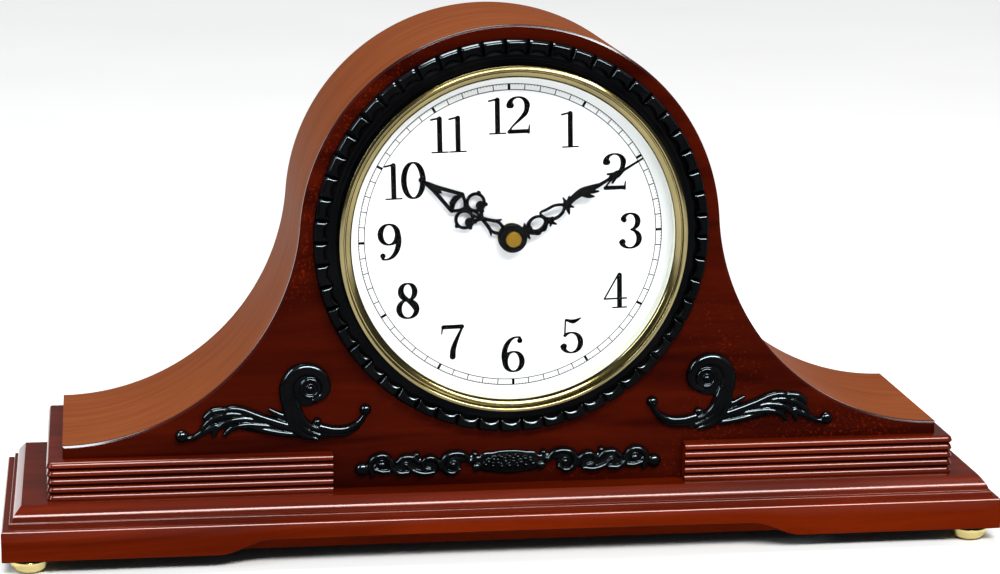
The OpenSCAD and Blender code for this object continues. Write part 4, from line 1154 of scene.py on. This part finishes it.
def scroll_relief():
    """Right-hand scroll: fluted stem, volute, leaf to the outside and tendril to the inside."""
    r = Relief((60, 50), (156, 94), 0.25)
    volute = [(101.6, 74.0), (101.8, 80.0), (98.6, 85.4), (92.6, 87.4), (86.8, 85.0), (84.2, 79.6),
              (85.6, 75.2), (89.6, 72.9)]
    r.dab((92.8, 79.4), 9.2, 1.1)
    r.curve(volute, [7.0, 6.6, 6.4, 6.2, 5.6, 5.0, 4.2, 2.6],
            [2.2, 2.5, 2.6, 2.6, 2.5, 2.4, 2.2, 1.6])
    r.stroke(arc(91.4, 78.6, 4.0, 4.0, 0, 360, 50), 2.3, 1.9)
    r.dab((91.4, 78.6), 2.0, 2.7)
    strands = [
        [(102.4, 80), (101.9, 70), (99.8, 62.6), (95.0, 57.0), (88.0, 54.6)],
        [(100.0, 82), (98.9, 69), (96.6, 62.4), (92.0, 58.2), (84.0, 55.4)],
        [(98.6, 76), (96.2, 67), (93.6, 62.6), (89.6, 60.0), (83.0, 57.4)],
    ]
    for line, width in zip(strands, (4.6, 4.2, 3.8)):
        r.curve(line, [0.6, width, width, 0.9 * width, 1.6], [1.0, 2.7, 2.6, 2.3, 1.3])
    r.dab((88.2, 62.6), 2.1, 2.4)
    r.curve([(87, 59.6), (81, 58.6), (75.2, 58.8), (70.0, 61.2), (67.2, 64.6), (66.4, 67.4)],
            [5.0, 4.4, 4.2, 3.9, 3.2, 2.6], [2.0, 2.1, 2.1, 2.1, 2.0, 1.9])
    r.curve([(86, 57.0), (79, 56.6), (74.6, 57.0), (69.4, 59.4)], [2.8, 2.6, 2.4, 1.2],
            [1.7, 1.7, 1.5, 1.0])
    r.dab((66.3, 67.8), 2.7, 2.5)
    r.curve([(93, 58.2), (104, 59.8), (114, 62.2), (123, 64.4), (130, 64.4), (135.6, 62.2)],
            [5.4, 7.4, 8.0, 9.0, 8.6, 5.4], [0.9, 1.0, 1.1, 1.1, 1.1, 0.8])
    r.curve([(94, 58.4), (104, 61.8), (114.6, 66.0), (122.4, 69.4), (128.0, 69.8), (131.6, 67.2)],
            [4.4, 4.8, 4.4, 3.8, 3.4, 2.6], [1.8, 2.4, 2.6, 2.6, 2.5, 2.0])
    ribs = [
        [(96, 56.8), (104, 57.8), (112, 59.6), (118.4, 61.4), (122.0, 60.8)],
        [(104, 60.0), (113, 61.6), (121, 62.2), (127.0, 60.6), (129.8, 58.0)],
        [(112, 63.0), (121, 65.0), (128.4, 64.0), (133.2, 60.8), (134.8, 57.8)],
        [(119, 66.2), (127, 67.4), (134.0, 66.0), (138.4, 62.8), (140.6, 59.6)],
        [(126, 68.6), (131, 69.4), (135.6, 68.6), (138.4, 66.2)],
    ]
    for line in ribs:
        r.curve(line, [2.6, 3.2, 3.6, 3.4, 2.4][:len(line)], [1.4, 1.9, 2.3, 2.2, 1.5][:len(line)])
    r.curve([(134, 61.6), (139.6, 59.4), (144, 57.0), (148, 56.4)], [4.0, 3.4, 2.8, 2.6],
            [1.8, 1.9, 1.7, 1.6])
    r.curve([(99.6, 64.4), (104, 65.6), (109.6, 69.0)], [4.2, 3.6, 1.6], [1.6, 1.6, 1.0])
    r.dab((149.2, 57.6), 3.0, 2.6)
    return r


def garland_relief():
    """Carved strip under the dial: a beaded oval between two rows of C-scrolls and leaves."""
    r = Relief((-72, 31), (72, 51), 0.22)
    mid = 41.2

    def twin_dab(x, z, radius, rise):
        r.dab((x, z), radius, rise)
        r.dab((-x, z), radius, rise)

    r.stroke([(-9.6, mid), (9.6, mid)], 9.6, 1.2)
    r.stroke(arc(0, mid, 13.0, 4.5, 0, 360, 80), 2.2, 0.7)
    for x, z in ((-7, 43.0), (-3.6, 44.0), (0, 44.3), (3.6, 44.0), (7, 43.0),
                 (-5.2, 41.4), (-1.8, 42.0), (1.8, 42.0), (5.2, 41.4),
                 (-7.4, 40.0), (-3.6, 39.6), (0, 39.8), (3.6, 39.6), (7.4, 40.0),
                 (-9.4, 42.0), (9.4, 42.0), (-10.6, 40.6), (10.6, 40.6)):
        r.dab((x, z), 1.25, 2.9)
    r.twin_curves([(14, 42.6), (19, 43.4), (24, 43.0)], 3.6, 1.2)
    twin_dab(15.4, 45.4, 1.5, 2.3)
    twin_dab(14.6, 39.2, 2.2, 2.2)
    twin_dab(17.6, 42.2, 1.8, 2.2)
    r.twin_curves([(18.0, 43.0), (20.2, 45.2), (24.2, 46.0), (28.4, 44.6), (30.0, 41.2), (28.6, 37.6),
                   (25.2, 36.6), (22.4, 38.4)], [2.4, 3.0, 3.4, 3.4, 3.2, 3.0, 2.8, 2.2],
                  [1.9, 2.4, 2.6, 2.5, 2.4, 2.3, 2.1, 1.9])
    twin_dab(25.0, 41.0, 3.6, 1.4)
    twin_dab(25.2, 41.0, 1.7, 2.8)
    r.twin_curves([(30.2, 40.0), (36, 40.6), (43, 40.4), (50, 40.2)], [5.0, 7.2, 7.4, 6.0], 1.1)
    r.twin_curves([(31.0, 39.0), (32.4, 42.6), (35.6, 44.4), (38.6, 42.8), (38.2, 39.6), (35.4, 38.8)],
                  [2.4, 3.0, 3.0, 2.8, 2.4, 2.0], [2.0, 2.5, 2.6, 2.5, 2.2, 1.9])
    r.twin_curves([(34.0, 37.2), (38.6, 36.8), (43.2, 38.4), (46.4, 41.4)], [2.6, 3.2, 3.0, 2.2],
                  [2.0, 2.4, 2.4, 2.0])
    twin_dab(41.6, 45.8, 1.6, 2.3)
    r.twin_curves([(41.0, 42.2), (43.6, 44.6), (47.4, 44.8), (50.2, 42.6)], [2.8, 3.2, 3.2, 2.4],
                  [1.9, 2.5, 2.6, 2.2])
    r.twin_curves([(45.6, 37.4), (49.4, 37.4), (52.4, 39.6), (53.4, 42.6)], [3.0, 3.2, 3.0, 2.6],
                  [2.1, 2.4, 2.4, 2.2])
    r.twin_curves([(52.4, 41.4), (54.4, 44.8), (57.6, 46.0), (61.0, 44.4), (62.4, 40.8), (61.2, 36.8)],
                  [2.8, 3.2, 3.4, 3.4, 3.4, 2.6], [2.0, 2.4, 2.6, 2.6, 2.4, 1.8])
    twin_dab(57.6, 41.4, 4.2, 1.2)
    twin_dab(57.0, 41.6, 2.2, 2.6)
    r.twin_curves([(52.6, 38.4), (56.6, 38.0), (60.0, 39.2)], [2.4, 2.8, 2.6], [1.6, 1.9, 2.0])
    r.twin_curves([(61, 40.6), (64.0, 39.8)], 3.2, 1.8)
    twin_dab(65.8, 39.6, 3.3, 2.7)
    return r


def build_ornaments():
    """The two scrolls, one the mirror image of the other, and the garland between them."""
    edge, stretch = 0.8, 1.03
    scroll = standing(scroll_relief().solid(edge), FRONT_Y)
    carving("scroll_right_carved", scroll, "scroll_right")
    carving("scroll_left_carved", mirrored(scroll), "scroll_left")
    points, faces = standing(garland_relief().solid(edge), FRONT_Y)
    carving("garland_carved", (points * [stretch, 1, 1], faces), "garland")


# ---- studio ----------------------------------------------------------------------------------


def look_rotation(azimuth, elevation, roll):
    """Camera rotation: azimuth from +Y towards -X, elevation below level, then roll."""
    az, el, ro = (math.radians(v) for v in (azimuth, elevation, roll))
    ahead = Vector((-math.sin(az) * math.cos(el), math.cos(az) * math.cos(el), -math.sin(el)))
    right = ahead.cross(Vector((0, 0, 1))).normalized()
    up = right.cross(ahead)
    right, up = right * math.cos(ro) + up * math.sin(ro), up * math.cos(ro) - right * math.sin(ro)
    return Matrix((right, up, -ahead)).transposed()


def build_camera():
    """A long lens that stands to the left of the clock and a little above it."""
    place = Vector((-184.7, -1163.8, 382.4)) * MM
    azimuth, elevation, roll = -8.348, 14.226, 0.655
    lens_to_sensor = 2.5872
    data = bpy.data.cameras.new("camera")
    data.sensor_width = 36.0
    data.lens = lens_to_sensor * data.sensor_width
    data.shift_x = 0.0323
    data.shift_y = 0.063
    data.clip_end = 50.0
    camera = placed("camera", data)
    camera.matrix_world = Matrix.Translation(place) @ look_rotation(azimuth, elevation, roll).to_4x4()
    bpy.context.scene.camera = camera


def direction(azimuth, elevation):
    """The way from the clock towards a light; azimuth is measured from -Y towards +X."""
    az, el = math.radians(azimuth), math.radians(elevation)
    return Vector((math.sin(az) * math.cos(el), -math.cos(az) * math.cos(el), math.sin(el)))


def softbox(name, azimuth, elevation, distance, width, height, watts, colour):
    """A rectangular light that faces the clock. Its sizes and its distance are in metres."""
    data = bpy.data.lights.new(name, "AREA")
    data.shape = "RECTANGLE"
    data.size, data.size_y = width, height
    data.energy = watts
    data.color = colour
    light = placed(name, data)
    away = direction(azimuth, elevation)
    light.location = Vector((0, 0, LIGHT_AIM_Z * MM)) + away * distance
    light.rotation_euler = away.to_track_quat("Z", "Y").to_euler()


def overhead(name, azimuth, elevation, strength, spread):
    """Broad, even light from above that keeps the whole floor pale; spread is in degrees."""
    data = bpy.data.lights.new(name, "SUN")
    data.energy = strength
    data.angle = math.radians(spread)
    light = placed(name, data)
    light.rotation_euler = direction(azimuth, elevation).to_track_quat("Z", "Y").to_euler()


def build_studio():
    """Pale floor, a key light above, a cool strip on the left and an even light from overhead."""
    floor_width_m = 60
    bpy.ops.mesh.primitive_plane_add(size=floor_width_m)
    floor = bpy.context.object
    floor.name = "studio_floor"
    floor.data.materials.append(floor_material("floor_paper"))
    world = bpy.data.worlds.new("studio_world")
    world.use_nodes = True
    background = world.node_tree.nodes["Background"]
    background.inputs["Color"].default_value = (0.94, 0.97, 1.0, 1.0)
    background.inputs["Strength"].default_value = 0.12
    bpy.context.scene.world = world
    softbox("key_softbox", azimuth=14, elevation=42, distance=1.7, width=1.6, height=0.3,
            watts=41, colour=(1.0, 0.98, 0.96))
    softbox("left_softbox", azimuth=-62, elevation=28, distance=1.6, width=0.16, height=0.9,
            watts=9, colour=(0.84, 0.93, 1.0))
    overhead("overhead_light", azimuth=200, elevation=70, strength=2.6, spread=35)
    build_camera()
    bpy.context.scene.view_settings.view_transform = "Standard"


# ---- the whole clock -------------------------------------------------------------------------

dress_cad_nodes()
build_base()
build_feet()
build_blocks()
build_roof()
build_front_panel()
build_dial_ring()
build_bezel()
build_glass()
build_dial_plate()
build_numerals()
build_minute_track()
build_minute_hand()
build_hour_hand()
build_hub()
build_ornaments()
build_studio()
